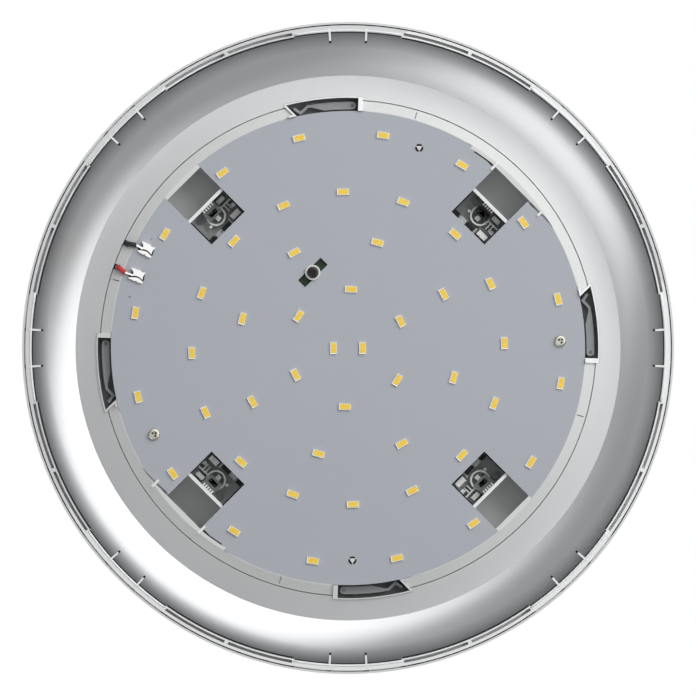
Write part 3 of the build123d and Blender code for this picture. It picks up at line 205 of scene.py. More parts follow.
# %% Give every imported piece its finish
finishes = {
    "base_pan": shell_finish,
    "outer_shell": shell_finish,
    "inner_tray": tray_finish,
    "led_board": board_finish,
    "led_packages": led_body_finish,
    "led_phosphors": phosphor_finish,
    "board_screws": zinc_finish,
    "tray_screws": screw_finish,
    "mains_terminal_screws": zinc_finish,
    "board_snap_pins": nylon_finish,
    "negative_terminal": tin_finish,
    "positive_terminal": tin_finish,
    "wire_ends": tin_finish,
    "negative_wire": black_insulation_finish,
    "positive_wire": red_insulation_finish,
    "window_pads": black_rubber_and_shade_finish,
    "oval_grommet": black_rubber_and_shade_finish,
    "cable_grommet": black_rubber_and_shade_finish,
    "spacer_blocks": white_foam_finish,
    "sensor_board": laminate_finish,
    "sensor_collar": nylon_finish,
    "sensor_lens": lens_finish,
    "driver_case": driver_finish,
    "driver_lid": driver_finish,
    "driver_board": paper_laminate_finish,
    "transformer_core": ferrite_finish,
    "transformer_winding": tape_finish,
    "capacitors": sleeve_finish,
    "film_capacitors": film_finish,
    "choke": copper_finish,
    "output_block": polyamide_finish,
    "input_block": polyamide_finish,
    "mains_terminal": polyamide_finish,
    "supply_leads": supply_finish,
    "side_entry_plug": plug_finish,
    "ceiling_gasket": grey_foam_finish,
}
for number in range(1, 5):
    finishes[f"latch_spring_{number}"] = latch_finish
for name, finish in finishes.items():
    nodes[name].data.materials.clear()
    nodes[name].data.materials.append(finish)
print("without a finish:", sorted(set(nodes) - set(finishes)))

# %% [markdown]
# ## The silver lacquer
# The bowl throws the stray light forward, so its inside carries a silver lacquer while the
# rest of the moulding stays white. Towards the rim the silver is painted darker, as painted
# shade, and a last hair's breadth under the lip is painted near black, as a painted shadow
# line. Both follow the distance from the light's axis, which the length of the flattened
# position gives.

# %% Silver lacquer with painted rim shade
SHADE_START_RADIUS = 138.0
SHADE_END_RADIUS = 145.6
SHADOW_LINE_RADIUS = 145.0
silver_finish, tree, output, place = new_finish("satin_silver_lacquer_and_painted_shade")
across = add_node(tree, "ShaderNodeVectorMath", {0: place, 1: (1, 1, 0)}, operation="MULTIPLY")
reach = add_node(tree, "ShaderNodeVectorMath", {0: across.outputs["Vector"]}, operation="LENGTH")
rim_shade_ramp = add_node(tree, "ShaderNodeMapRange",
                    {"Value": reach.outputs["Value"], "From Min": SHADE_START_RADIUS * MM,
                     "From Max": SHADE_END_RADIUS * MM})
rim_shaded_silver = add_node(tree, "ShaderNodeMix",
                {"Factor": rim_shade_ramp.outputs["Result"], "A": linear("#CFD0D1"), "B": linear("#77797B")},
                data_type="RGBA")
shadow_line_mask = add_node(tree, "ShaderNodeMath", {0: reach.outputs["Value"], 1: SHADOW_LINE_RADIUS * MM},
                operation="GREATER_THAN")
silver_and_painted_shade = add_node(tree, "ShaderNodeMix",
                     {"Factor": shadow_line_mask.outputs[0], "A": rim_shaded_silver.outputs["Result"], "B": linear("#2C2D2E")},
                     data_type="RGBA")
shader = add_node(tree, "ShaderNodeBsdfPrincipled",
                  {"Base Color": silver_and_painted_shade.outputs["Result"], "Metallic": 1.0, "Roughness": 0.4})
tree.links.new(shader.outputs["BSDF"], output.inputs["Surface"])
# This prints where the painted rim shade starts and ends
print("lacquer thins from", SHADE_START_RADIUS, "to", SHADE_END_RADIUS, "mm")

# %% [markdown]
# ## Copies that can be dressed
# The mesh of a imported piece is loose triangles, and it is left alone. To tone single faces or
# round edges, we merge a copy of it into one connected mesh and join up its flat faces. The
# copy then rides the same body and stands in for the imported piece.

# %% Merged copies and their objects
FLAT_ANGLE = radians(0.5)
SHARP_ANGLE = radians(25)
BEVEL_ANGLE = radians(35)
WELD_DISTANCE = 1e-6


def merged_copy(name):
    """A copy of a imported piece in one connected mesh, with its flat faces joined up."""
    mesh = nodes[name].data.copy()
    mesh.name = name + "_merged"
    joined = bmesh.new()
    joined.from_mesh(mesh)
    bmesh.ops.remove_doubles(joined, verts=joined.verts, dist=WELD_DISTANCE)
    bmesh.ops.recalc_face_normals(joined, faces=joined.faces)
    bmesh.ops.dissolve_limit(joined, angle_limit=FLAT_ANGLE, verts=joined.verts, edges=joined.edges)
    for face in joined.faces:
        face.smooth = True
    for edge in joined.edges:
        edge.smooth = edge.is_manifold and edge.calc_face_angle() < SHARP_ANGLE
    return mesh, joined


def settle(name, mesh, shape, finish_list, body=BODY, stands_for=None):
    """Write a bmesh to its mesh, as an object that rides a body and may stand in for a piece."""
    mesh.materials.clear()
    for one in finish_list:
        mesh.materials.append(one)
    shape.to_mesh(mesh)
    shape.free()
    made = bpy.data.objects.new(name, mesh)
    bpy.context.collection.objects.link(made)
    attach(made, body)
    if stands_for:
        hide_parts(stands_for)
    print(name, "faces", len(mesh.polygons))
    return made


def soften(made, width_mm):
    """Break the sharp edges of a finished piece, as every mould does."""
    rounding = made.modifiers.new("broken_edges", "BEVEL")
    rounding.width = width_mm * MM
    rounding.segments = 2
    rounding.limit_method = "ANGLE"
    rounding.angle_limit = BEVEL_ANGLE
    rounding.use_clamp_overlap = True
    rounding.harden_normals = True


# %% [markdown]
# ## Where the lacquer lies
# Lacquer goes on over a mask, which leaves a sharp edge. The copy of the moulding therefore
# has three material slots, and every face that lies on the bowl's round inner profile takes
# the silver one. The tops of the ribs and of the pockets' edges take the smoother, brighter
# white, whose extra brightness is painted highlight.

# %% Mark the faces of the shell
BOWL_CENTRE = Vector((115.37, -62.47))
BOWL_CURVE = 33.09
ON_CURVE = 0.2
NECK_RADIUS = 125.6
RIB_REACH = (140.0, 147.4)
POCKET_EDGE_RADIUS = 145.8
RIB_TOP = -50.1
FACES_INWARD = -0.2
FACES_FRONT = -0.9
mesh, shell = merged_copy("outer_shell")
silvered = 0
highlight_painted = 0
for face in shell.faces:
    middle = face.calc_center_median() / MM
    radius = middle.xy.length
    off_curve = abs((Vector((radius, middle.z)) - BOWL_CENTRE).length - BOWL_CURVE)
    outward = face.normal.xy.dot(middle.xy.normalized())
    front = face.normal.z < FACES_FRONT and RIB_REACH[0] < radius < RIB_REACH[1]
    if off_curve < ON_CURVE and outward < FACES_INWARD and radius > NECK_RADIUS:
        face.material_index = 1
        silvered += 1
    elif front and (middle.z < RIB_TOP or radius < POCKET_EDGE_RADIUS):
        face.material_index = 2
        highlight_painted += 1
print("silvered faces", silvered, "polished faces", highlight_painted, "of", len(shell.faces))
settle("outer_shell_dressed", mesh, shell, [shell_finish, silver_finish, highlight_white_finish],
       stands_for="outer_shell")

# %% [markdown]
# ## Small forms
# The small forms of this light are boxes, discs, rounded blocks and flat cut sheets. Each of
# them starts from one of Blender's operators, and a few helpers put it where it belongs. The
# board has a mark at its front, and an angle on the board is counted from there.

# %% Helpers for small forms
BOARD_FRONT = 38.4
FRONT_MARK_TURN = 90
SMALL_EDGE = 0.15


def board_point(radius, angle):
    """A point of the board in metres, from its radius and its angle from the front mark."""
    turn = radians(angle - FRONT_MARK_TURN)
    return Vector((radius * MM * cos(turn), radius * MM * sin(turn)))


def touching(shape, corners):
    """The edges and the faces of a bmesh that have no corner but these."""
    own = set(corners)
    return ([edge for edge in shape.edges if own.issuperset(edge.verts)],
            [face for face in shape.faces if own.issuperset(face.verts)])


def block(target, size, middle, place):
    """A box whose size and middle are in millimetres, moved by a matrix."""
    inner = Matrix.Translation([length * MM for length in middle]) \
        @ Matrix.Diagonal([length * MM for length in size] + [1])
    return bmesh.ops.create_cube(target, size=1, matrix=place @ inner)["verts"]


def disc(target, radius, thickness, spot, depth, segments=32):
    """A flat disc round a point of the board, with its middle at this depth in millimetres."""
    bmesh.ops.create_cone(target, cap_ends=True, segments=segments, radius1=radius * MM,
                          radius2=radius * MM, depth=thickness * MM,
                          matrix=Matrix.Translation((spot.x, spot.y, -depth * MM)))


def round_edges(target, edges):
    """Round these edges of a small moulding."""
    bmesh.ops.bevel(target, geom=edges, offset=SMALL_EDGE * MM, offset_type="OFFSET",
                    affect="EDGES", segments=2, profile=0.5, material=-1)


def new_piece(name, shape, finish, stands_for=None):
    """A piece with its faces turned outwards, in one finish, that rides the base."""
    bmesh.ops.recalc_face_normals(shape, faces=shape.faces)
    return settle(name, bpy.data.meshes.new(name), shape, [finish], stands_for=stands_for)


# %% [markdown]
# ## Bright inner lip
# Between the groups of pockets the rim ends in a thin round lip that catches every lamp. It is
# a circle swept along an arc, eight times, in the same brighter white as the rib tops, which
# adds painted highlight.

# %% Inner lip
LIP_RADIUS = 146.15
LIP_THICKNESS = 0.85
LIP_SPAN = 19.6
LIP_DEPTH = 49.95
RIM_STEP = 45
RIM_TURNS = range(0, 360, RIM_STEP)
lips = bmesh.new()
for turn in RIM_TURNS:
    start = Matrix.Rotation(radians(turn - LIP_SPAN / 2), 4, "Z") \
        @ Matrix.Translation((LIP_RADIUS * MM, 0, -LIP_DEPTH * MM)) @ Matrix.Rotation(pi / 2, 4, "X")
    ring = bmesh.ops.create_circle(lips, cap_ends=True, segments=12, radius=LIP_THICKNESS / 2 * MM,
                                   matrix=start)
    edges, faces = touching(lips, ring["verts"])
    bmesh.ops.spin(lips, geom=ring["verts"] + edges + faces, cent=(0, 0, 0), axis=(0, 0, 1),
                   angle=radians(LIP_SPAN), steps=20)
bmesh.ops.holes_fill(lips, edges=[edge for edge in lips.edges if edge.is_boundary])
for face in lips.faces:
    face.smooth = len(face.verts) == 4
new_piece("rim_lips", lips, highlight_white_finish)

# %% [markdown]
# ## Edges and tones of the tray
# No moulding has a perfectly sharp edge, and the thin bright line that a broken edge catches is
# what shows its shape. The merged copy has clean edges, so a bevel modifier can round them.
# Painted shade darkens the window floors and their towers, as two greys, and the borders of the
# slots and some faces deep in the windows take the brighter white of painted highlight. The
# floors, towers and bright faces are told by the depth at which a face lies, and a slot's
# border stands proud of the sloping ring round it.

# %% Painted shade, painted highlight and broken edges of the tray
PAINTED_LIGHT_SLOT_OF_DEPTH = {19.6: 1, 27.0: 2, 28.4: 2, 33.4: 2, 28.6: 3, 24.0: 3}
SAME_DEPTH = 0.05
RING_RADIUS, RING_DEPTH, RING_SLOPE = 114.0, 36.2, 0.5
BORDER_REACH = (108.0, 117.0)
BORDER_PROUD = 0.8
BORDER_FACES_FRONT = -0.8
TRAY_EDGE = 0.18
mesh, tray = merged_copy("inner_tray")
toned = 0
for face in tray.faces:
    middle = face.calc_center_median() / MM
    radius = middle.xy.length
    depth = -middle.z
    proud = depth - RING_DEPTH - (RING_RADIUS - radius) * RING_SLOPE
    on_ring = face.normal.z < BORDER_FACES_FRONT and BORDER_REACH[0] < radius < BORDER_REACH[1]
    if on_ring and proud > BORDER_PROUD:
        face.material_index = 3
        toned += 1
    for level, slot in PAINTED_LIGHT_SLOT_OF_DEPTH.items():
        if face.normal.z < FACES_FRONT and abs(depth - level) < SAME_DEPTH:
            face.material_index = slot
            toned += 1
print("toned faces", toned, "of", len(tray.faces))
tray_finishes = [tray_finish, shade_grey_cell_finish, shade_dark_tower_finish, highlight_white_finish]
tray_dressed = settle("inner_tray_dressed", mesh, tray, tray_finishes, stands_for="inner_tray")
soften(tray_dressed, TRAY_EDGE)

# %% [markdown]
# ## Snap pins and latches
# Two nylon pins snap the board down, and a latch sits in each of the four slots. The real pins
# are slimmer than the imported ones, so the copies are drawn in, each about its own axis. Every
# latch moves, so its copy rides the latch's own body and not the base.

# %% Broken edges of the pins
PIN_RADIUS = 97.8
PIN_ANGLES = (19.6, 178.8)
PIN_SHARE = 0.74
PIN_EDGE = 0.12
pin_spots = [board_point(PIN_RADIUS, angle) for angle in PIN_ANGLES]
mesh, pins = merged_copy("board_snap_pins")
for corner in pins.verts:
    spot = min(pin_spots, key=lambda one: (corner.co.xy - one).length)
    corner.co.xy = spot + (corner.co.xy - spot) * PIN_SHARE
pins_dressed = settle("board_snap_pins_dressed", mesh, pins, [nylon_finish], stands_for="board_snap_pins")
soften(pins_dressed, PIN_EDGE)

# %% Broken edges of the latches
LATCH_EDGE = 0.15
for number in range(1, 5):
    name = f"latch_spring_{number}"
    mesh, latch = merged_copy(name)
    latch_dressed = settle(name + "_dressed", mesh, latch, [latch_finish], f"latch_{number}", name)
    soften(latch_dressed, LATCH_EDGE)

# %% [markdown]
# ## LED packages
# Each LED is a white moulded cup 5.6 by 3.0 mm whose recess holds the phosphor. The packed
# bodies tell where each one sits and how it is turned: its middle is the mean of its corners,
# and its long side runs the way in which the corners are spread most.

# %% Find the places of the LEDs
def loose_pieces(name):
    """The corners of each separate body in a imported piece."""
    merged = bmesh.new()
    merged.from_mesh(nodes[name].data)
    bmesh.ops.remove_doubles(merged, verts=merged.verts, dist=WELD_DISTANCE)
    waiting = set(merged.verts)
    bodies = []
    while waiting:
        found = [waiting.pop()]
        for corner in found:
            for edge in corner.link_edges:
                other = edge.other_vert(corner)
                if other in waiting:
                    waiting.remove(other)
                    found.append(other)
        bodies.append([corner.co.copy() for corner in found])
    merged.free()
    return bodies


def flat_place(corners):
    """The place of a long flat body, as a matrix whose X axis runs along it."""
    middle = sum(corners, Vector()) / len(corners)
    low = [corner - middle for corner in corners if corner.z < middle.z]
    spread_xx = sum(reach.x ** 2 for reach in low)
    spread_yy = sum(reach.y ** 2 for reach in low)
    spread_xy = sum(reach.x * reach.y for reach in low)
    turn = atan2(2 * spread_xy, spread_xx - spread_yy) / 2
    return Matrix.Translation((middle.x, middle.y, 0)) @ Matrix.Rotation(turn, 4, "Z")


led_places = [flat_place(body) for body in loose_pieces("led_packages")]
print("LEDs", len(led_places))

# %% One LED body, repeated
LED_LENGTH, LED_WIDTH, LED_FRONT = 5.6, 3.0, 39.25
LED_HEIGHT = LED_FRONT - BOARD_FRONT
CUP_LENGTH, CUP_WIDTH, CUP_DEPTH = 4.6, 2.35, 0.12
CUP_SHARE = CUP_LENGTH / (LED_LENGTH - LED_WIDTH + CUP_WIDTH)
cups = bmesh.new()
for place in led_places:
    box = block(cups, (LED_LENGTH, LED_WIDTH, LED_HEIGHT), (0, 0, -BOARD_FRONT - LED_HEIGHT / 2), place)
    front = min(touching(cups, box)[1], key=lambda face: face.calc_center_median().z)
    bmesh.ops.inset_individual(cups, faces=[front], thickness=(LED_WIDTH - CUP_WIDTH) / 2 * MM, depth=0)
    round_edges(cups, [edge for edge in touching(cups, box)[0]
                       if abs(edge.verts[0].co.z - edge.verts[1].co.z) > LED_HEIGHT / 2 * MM])
    bmesh.ops.scale(cups, verts=front.verts, vec=(CUP_SHARE, 1, 1), space=place.inverted())
    bmesh.ops.translate(cups, verts=front.verts, vec=(0, 0, CUP_DEPTH * MM))
new_piece("led_cups", cups, led_body_finish, "led_packages")

# %% The phosphor in each LED
FILL_DEPTH_SHARE, FILL_HEIGHT_SHARE = 0.6, 0.7
fills = bmesh.new()
for place in led_places:
    block(fills, (CUP_LENGTH, CUP_WIDTH, CUP_DEPTH * FILL_HEIGHT_SHARE),
          (0, 0, CUP_DEPTH * FILL_DEPTH_SHARE - LED_FRONT), place)
new_piece("led_fills", fills, phosphor_finish, "led_phosphors")

# %% [markdown]
# ## Terminal clips
# Each lead is pushed into a small clip of tinned sheet. From the front it is a waisted plate
# with a notch that guides the wire, and a curved flange below it. The spring steel tongue
# inside is given a near black, which paints the shade in the gap between the two. Each sheet
# starts as its outline and is extruded.

# %% Clip sheets
CLIPS = (("negative_terminal", 296.4, 103.1), ("positive_terminal", 289.3, 102.5))
SHEET = 0.25
SHEET_EDGE = 0.05
PLATE_HEIGHT, FLANGE_HEIGHT = 2.05, 1.1
WEB_FOOT, WEB_OVERLAP = 0.02, 0.05
TONGUE_REACH = (0.05, 0.5)
PLATE_OUTLINE = [(-3.95, -1.9), (0.6, -2.1), (1.3, -1.55), (2.1, -1.65), (3.45, -2.1), (2.85, -1.1),
                 (2.65, 0.3), (2.75, 1.3), (2.9, 1.8), (2.1, 1.35), (1.1, 1.0), (0.1, 0.85),
                 (-1.3, 1.1), (-2.7, 1.75), (-3.0, 1.3), (-2.25, 0.4), (-2.2, -0.3), (-2.9, -0.9)]
FLANGE_OUTLINE = [(-3.85, 2.75), (-2.9, 2.4), (-1.3, 1.78), (0.1, 1.5), (1.2, 1.62), (2.3, 2.05),
                  (3.3, 2.65), (3.45, 3.15), (2.6, 3.4), (1.0, 3.45), (0.6, 3.45), (0.2, 2.7),
                  (-0.3, 3.4), (-1.6, 3.3), (-3.2, 3.15)]
TONGUE_OUTLINE = [(-3.6, -1.45), (-2.4, -1.6), (2.95, -1.3), (3.2, 0.2), (3.5, 1.9), (2.5, 2.35),
                  (0.1, 1.75), (-2.4, 2.5), (-3.85, 2.35), (-3.8, 1.5), (-3.3, 0.8), (-2.75, 0.3),
                  (-2.85, -0.5)]
FRONT_WEB_OUTLINE = [(-3.4, 2.6), (3.2, 2.6), (3.2, 2.9), (-3.4, 2.9)]
BACK_WEB_OUTLINE = [(-3.3, -1.9), (0.6, -2.0), (0.6, -1.7), (-3.3, -1.6)]


def clip_place(angle, radius):
    """The frame of a clip: X inwards, Y across, Z out of the board towards the viewer."""
    spot = board_point(radius, angle)
    inwards = -spot.normalized()
    return Matrix(((inwards.x, -inwards.y, 0, spot.x), (inwards.y, inwards.x, 0, spot.y),
                   (0, 0, -1, -BOARD_FRONT * MM), (0, 0, 0, 1)))


def sheet_piece(target, outline, low, high, place):
    """A flat piece between two heights above the board, from its outline in millimetres."""
    corners = [target.verts.new(place @ Vector((x * MM, y * MM, low * MM))) for x, y in outline]
    grown = bmesh.ops.extrude_face_region(target, geom=[target.faces.new(corners)])
    raised = [one for one in grown["geom"] if isinstance(one, bmesh.types.BMVert)]
    lift = place.to_3x3() @ Vector((0, 0, (high - low) * MM))
    bmesh.ops.translate(target, verts=raised, vec=lift)


# %% Put the clips together
for name, angle, radius in CLIPS:
    place = clip_place(angle, radius)
    clip = bmesh.new()
    sheet_piece(clip, PLATE_OUTLINE, PLATE_HEIGHT, PLATE_HEIGHT + SHEET, place)
    sheet_piece(clip, FLANGE_OUTLINE, FLANGE_HEIGHT, FLANGE_HEIGHT + SHEET, place)
    sheet_piece(clip, FRONT_WEB_OUTLINE, WEB_FOOT, FLANGE_HEIGHT + WEB_OVERLAP, place)
    sheet_piece(clip, BACK_WEB_OUTLINE, WEB_FOOT, PLATE_HEIGHT + WEB_OVERLAP, place)
    soften(new_piece(name + "_sheets", clip, tin_finish, name), SHEET_EDGE)
    tongue = bmesh.new()
    sheet_piece(tongue, TONGUE_OUTLINE, *TONGUE_REACH, place)
    new_piece(name + "_tongue", tongue, shade_dark_tongue_finish)

# %% [markdown]
# ## Polarity marks
# The board's print shows which terminal is which. The strokes are printed ink, so they stand
# only a few hundredths of a millimetre proud of the board.

# %% Minus and plus
ink_finish = moulded("grey_epoxy_ink", "#6A6E78", "#747882", 0.6)
STROKE = 0.32
INK_THICKNESS, INK_DEPTH = 0.03, BOARD_FRONT + 0.01
MARKS = (((-90.6, -50.1), -66.0, ((1.2, STROKE),)),
         ((-100.5, -23.5), -68.7, ((1.4, STROKE), (STROKE, 1.4))))
marks = bmesh.new()
for (x, y), reading, strokes in MARKS:
    place = Matrix.Translation((x * MM, y * MM, 0)) @ Matrix.Rotation(radians(reading), 4, "Z")
    for length, breadth in strokes:
        block(marks, (length, breadth, INK_THICKNESS), (0, 0, -INK_DEPTH), place)
new_piece("polarity_marks", marks, ink_finish)

# %% [markdown]
# ## Board hooks and shade in the fixing holes
# Beside two of the windows, short white hooks of the tray reach over the board's straight edge.
# They are blocks with rounded edges, in the brighter white of painted highlight. In each ceiling
# fixing hole a plain black disc paints the shade of the open hole.

# %% Hooks over the board's straight edges
HOOKED_TURNS = (-45, 135)
HOOK_SIZE = (4.4, 1.2, 0.6)
HOOK_RADIUS, HOOK_DEPTH = 106.9, 38.75
HOOK_SIDES = (-11.5, 18.7)
hooks = bmesh.new()
for turn in HOOKED_TURNS:
    place = Matrix.Rotation(radians(turn), 4, "Z")
    for side in HOOK_SIDES:
        hook = block(hooks, HOOK_SIZE, (HOOK_RADIUS, side, -HOOK_DEPTH), place)
        round_edges(hooks, touching(hooks, hook)[0])
new_piece("board_hooks", hooks, highlight_white_finish)

# %% Painted shade in the fixing holes
WINDOW_TURNS = (-45, 45, 135, 225)
FIXING_RADIUS = 86.1
SHADE_DISC_RADIUS, SHADE_DISC_THICKNESS, SHADE_DISC_DEPTH = 2.48, 0.6, 1.3
shade_discs = bmesh.new()
for turn in WINDOW_TURNS:
    spot = board_point(FIXING_RADIUS, turn + FRONT_MARK_TURN)
    disc(shade_discs, SHADE_DISC_RADIUS, SHADE_DISC_THICKNESS, spot, SHADE_DISC_DEPTH)
new_piece("fixing_hole_shades", shade_discs, black_rubber_and_shade_finish)

# %% [markdown]
# ## Bead between ring and board
# A thin bead of the tray closes the gap between its ring and the board. It stops at the slots
# and at the windows, and there it leaves more room where the board has a straight edge. Each
# stretch is an arc, cut as a flat sheet and turned to its quarter.

# %% Bead of the tray
BEAD_RADII = (109.15, 109.45)
BEAD_HEIGHTS = (-0.15, 0.05)
SLOT_END, SLOT_START = 3.9, 74.4
WINDOW_MIDDLE = 45
HOOKED_HALF_GAP, PLAIN_HALF_GAP = 14.6, 5.9
QUARTER = 90
ARC_STEPS = 24


def board_sheet(target, outline, low, high, turn):
    """A flat piece on the board from its outline in millimetres, turned about the light's axis."""
    place = Matrix.Rotation(radians(turn), 4, "Z") @ Matrix.Translation((0, 0, -BOARD_FRONT * MM)) \
        @ Matrix.Diagonal((1, 1, -1, 1))
    sheet_piece(target, outline, low, high, place)


def arc_outline(inner, outer, start, end):
    """The outline of a piece of a flat ring between two angles from the front mark."""
    turns = [radians(start - FRONT_MARK_TURN + (end - start) * step / ARC_STEPS)
             for step in range(ARC_STEPS + 1)]
    return [(outer * cos(turn), outer * sin(turn)) for turn in turns] \
        + [(inner * cos(turn), inner * sin(turn)) for turn in reversed(turns)]


bead = bmesh.new()
for quarter in range(4):
    half_gap = PLAIN_HALF_GAP if quarter % 2 else HOOKED_HALF_GAP
    for start, end in ((SLOT_END, WINDOW_MIDDLE - half_gap), (WINDOW_MIDDLE + half_gap, SLOT_START)):
        board_sheet(bead, arc_outline(*BEAD_RADII, start, end), *BEAD_HEIGHTS, quarter * QUARTER)
new_piece("board_bead", bead, tray_finish)

# %% [markdown]
# ## Land and open joint
# Beside the two hooked windows the bead widens to a flat land. The board ends a little before
# it, and a thin black sheet in the open joint between the two paints its shade as a dark line.

# %% Land and open joint beside the hooked windows
LAND_RADII, LAND_ANGLES, LAND_THICKNESS = (107.85, 109.45), (31.5, 38.6), 0.12
JOINT_RADII, JOINT_ANGLES, JOINT_THICKNESS = (107.2, 107.85), (32.7, 38.3), 0.06
lands = bmesh.new()
joint_shades = bmesh.new()
for turn in (0, 180):
    board_sheet(lands, arc_outline(*LAND_RADII, *LAND_ANGLES), 0.0, LAND_THICKNESS, turn)
    board_sheet(joint_shades, arc_outline(*JOINT_RADII, *JOINT_ANGLES), 0.0, JOINT_THICKNESS, turn)
new_piece("board_lands", lands, tray_finish)
new_piece("board_joint_shades", joint_shades, black_rubber_and_shade_finish)

# %% [markdown]
# ## Painted shade and highlight in the windows
# Thin black strips on three sides of each window paint the shade under the board's edge. The
# wall that divides the window has a flat top in the brighter white of painted highlight. Both
# are boxes, laid out along the radius and across it and then turned to their window.

# %% Painted shade strips and highlight wall tops
WALL_TOP, STRIP_TOP, TOP_THICKNESS = 1.6, 1.0, 0.1
WINDOW_NEAR, WINDOW_HALF_WIDTH = 78.1, 10.75
STRIP_FAR = 91.9


def box_outline(near, far, left, right):
    """The corners of a box in a window's frame, along the radius and across it."""
    return [(near, left), (far, left), (far, right), (near, right)]


STRIP_OUTLINES = (box_outline(WINDOW_NEAR, 78.8, 3.7, WINDOW_HALF_WIDTH),
                  box_outline(WINDOW_NEAR, STRIP_FAR, -WINDOW_HALF_WIDTH, -10.05),
                  box_outline(WINDOW_NEAR, STRIP_FAR, 10.15, WINDOW_HALF_WIDTH))
TOP_OUTLINE = box_outline(92.0, 93.5, -WINDOW_HALF_WIDTH, WINDOW_HALF_WIDTH)
strips = bmesh.new()
tops = bmesh.new()
for turn in WINDOW_TURNS:
    for outline in STRIP_OUTLINES:
        board_sheet(strips, outline, -WALL_TOP, -STRIP_TOP, turn)
    board_sheet(tops, TOP_OUTLINE, -WALL_TOP, TOP_THICKNESS - WALL_TOP, turn)
new_piece("window_edge_shades", strips, black_rubber_and_shade_finish)
new_piece("wall_top_highlights", tops, highlight_white_finish)

# %% [markdown]
# ## Painted shade of the rim
# Thin black arcs paint the shade in the rim's groove and in the pockets, under their inner
# edge. On both sides of each gusset a short black arc paints the dark notch in the groove, and
# a small black patch the shade at the foot of the rib. All of these are arcs, repeated every
# eighth of a turn. Only at two of the gussets does the groove's dark arc run on behind them.

# %% Painted shade of the rim
GROOVE_RADII, GROOVE_HEIGHTS = (148.5, 149.07), (9.9, 11.0)
POCKET_RADII, POCKET_ANGLES, POCKET_HEIGHTS = (144.3, 145.12), (9.9, 35.1), (8.2, 11.65)
GROOVE_ANGLES = (9.6, 35.4)
SLIT_RADII, SLIT_HALF_ANGLE, SLIT_HEIGHTS = (148.48, 149.07), 0.31, (9.6, 11.3)
FOOT_RADII, FOOT_HALF_ANGLE, FOOT_HEIGHTS = (140.5, 141.55), 0.2, (2.4, 5.0)
GUSSET_SIDES = (-3.33, 3.33)
rim_shade_pieces = bmesh.new()
for turn in RIM_TURNS:
    board_sheet(rim_shade_pieces, arc_outline(*POCKET_RADII, *POCKET_ANGLES), *POCKET_HEIGHTS, turn)
    board_sheet(rim_shade_pieces, arc_outline(*GROOVE_RADII, *GROOVE_ANGLES), *GROOVE_HEIGHTS, turn)
    for side in GUSSET_SIDES:
        slit = arc_outline(*SLIT_RADII, side - SLIT_HALF_ANGLE, side + SLIT_HALF_ANGLE)
        foot = arc_outline(*FOOT_RADII, side - FOOT_HALF_ANGLE, side + FOOT_HALF_ANGLE)
        board_sheet(rim_shade_pieces, slit, *SLIT_HEIGHTS, turn)
        board_sheet(rim_shade_pieces, foot, *FOOT_HEIGHTS, turn)
bridge = arc_outline(*GROOVE_RADII, -GROOVE_ANGLES[0], GROOVE_ANGLES[0])
for turn in (0, QUARTER):
    board_sheet(rim_shade_pieces, bridge, *GROOVE_HEIGHTS, turn)
new_piece("rim_shade_arcs", rim_shade_pieces, black_rubber_and_shade_finish)

# %% [markdown]
# ## Shade under the pins, spokes and screw pits
# A black disc under each snap pin paints the shade in the board's hole, and three short spokes
# join the pin's lobes. The
# cross recess of a pan-head screw is too deep for light to come back out, so small black
# discs mark where it ends.

# %% Painted shade under the snap pins
PIN_SHADE_RADIUS, PIN_SHADE_THICKNESS, PIN_SHADE_DEPTH = 1.88, 0.4, 38.1
pin_shade_discs = bmesh.new()
for spot in pin_spots:
    disc(pin_shade_discs, PIN_SHADE_RADIUS, PIN_SHADE_THICKNESS, spot, PIN_SHADE_DEPTH)
new_piece("pin_hole_shades", pin_shade_discs, black_rubber_and_shade_finish)

# %% Spokes of the pins
SPOKE_OUTLINE = box_outline(0.6, 1.95, -0.2, 0.2)
SPOKE_HEIGHTS = (-0.3, 0.1)
spokes = bmesh.new()
for spot in pin_spots:
    for turn in (90, 210, 330):
        place = Matrix.Translation((spot.x, spot.y, -BOARD_FRONT * MM)) \
            @ Matrix.Rotation(radians(turn), 4, "Z") @ Matrix.Diagonal((1, 1, -1, 1))
        sheet_piece(spokes, SPOKE_OUTLINE, *SPOKE_HEIGHTS, place)
new_piece("pin_spokes", spokes, nylon_finish)

# %% Pits in the cross recess of the board's screws
SCREW_ANGLES = (88.1, 246.0)
PIT_RADIUS, PIT_THICKNESS, PIT_DEPTH = 0.5, 0.1, 40.08
PIT_SIDES = ((-0.65, -0.6), (0.8, -0.6), (0.65, 0.75))
pits = bmesh.new()
for angle in SCREW_ANGLES:
    for side in PIT_SIDES:
        spot = board_point(PIN_RADIUS, angle) + Vector(side) * MM
        disc(pits, PIT_RADIUS, PIT_THICKNESS, spot, PIT_DEPTH, segments=16)
new_piece("screw_pits", pits, black_rubber_and_shade_finish)

# %% [markdown]
# ## Camera
# The photograph looks straight up the light's axis. Turning the camera half a turn about X
# makes it look up, with the front mark at the top of the picture. A very long lens from twelve
# metres keeps the far and near rims almost the same size.

# %% Camera
CAMERA_DISTANCE = 12.0
FRAME_WIDTH = 0.3202
RIM_HEIGHT = 0.050
lens = bpy.data.cameras.new("long_lens")
lens.sensor_width = 36.0
lens.lens = lens.sensor_width * (CAMERA_DISTANCE - RIM_HEIGHT) / FRAME_WIDTH
lens.clip_end = 1000.0
camera = bpy.data.objects.new("camera", lens)
camera.location = (0, 0, -CAMERA_DISTANCE)
camera.rotation_euler = (pi, 0, 0)
bpy.context.collection.objects.link(camera)
bpy.context.scene.camera = camera
print("lens", round(lens.lens, 1), "mm")

# %% [markdown]
# ## Studio
# A large soft lamp from the upper right makes the broad bright arc at the lower left of the
# bowl, and a smaller one at the lower left answers it. The world fills the shadows. It is
# white where the camera, a mirror or glass looks at it, so the picture has a white ground.

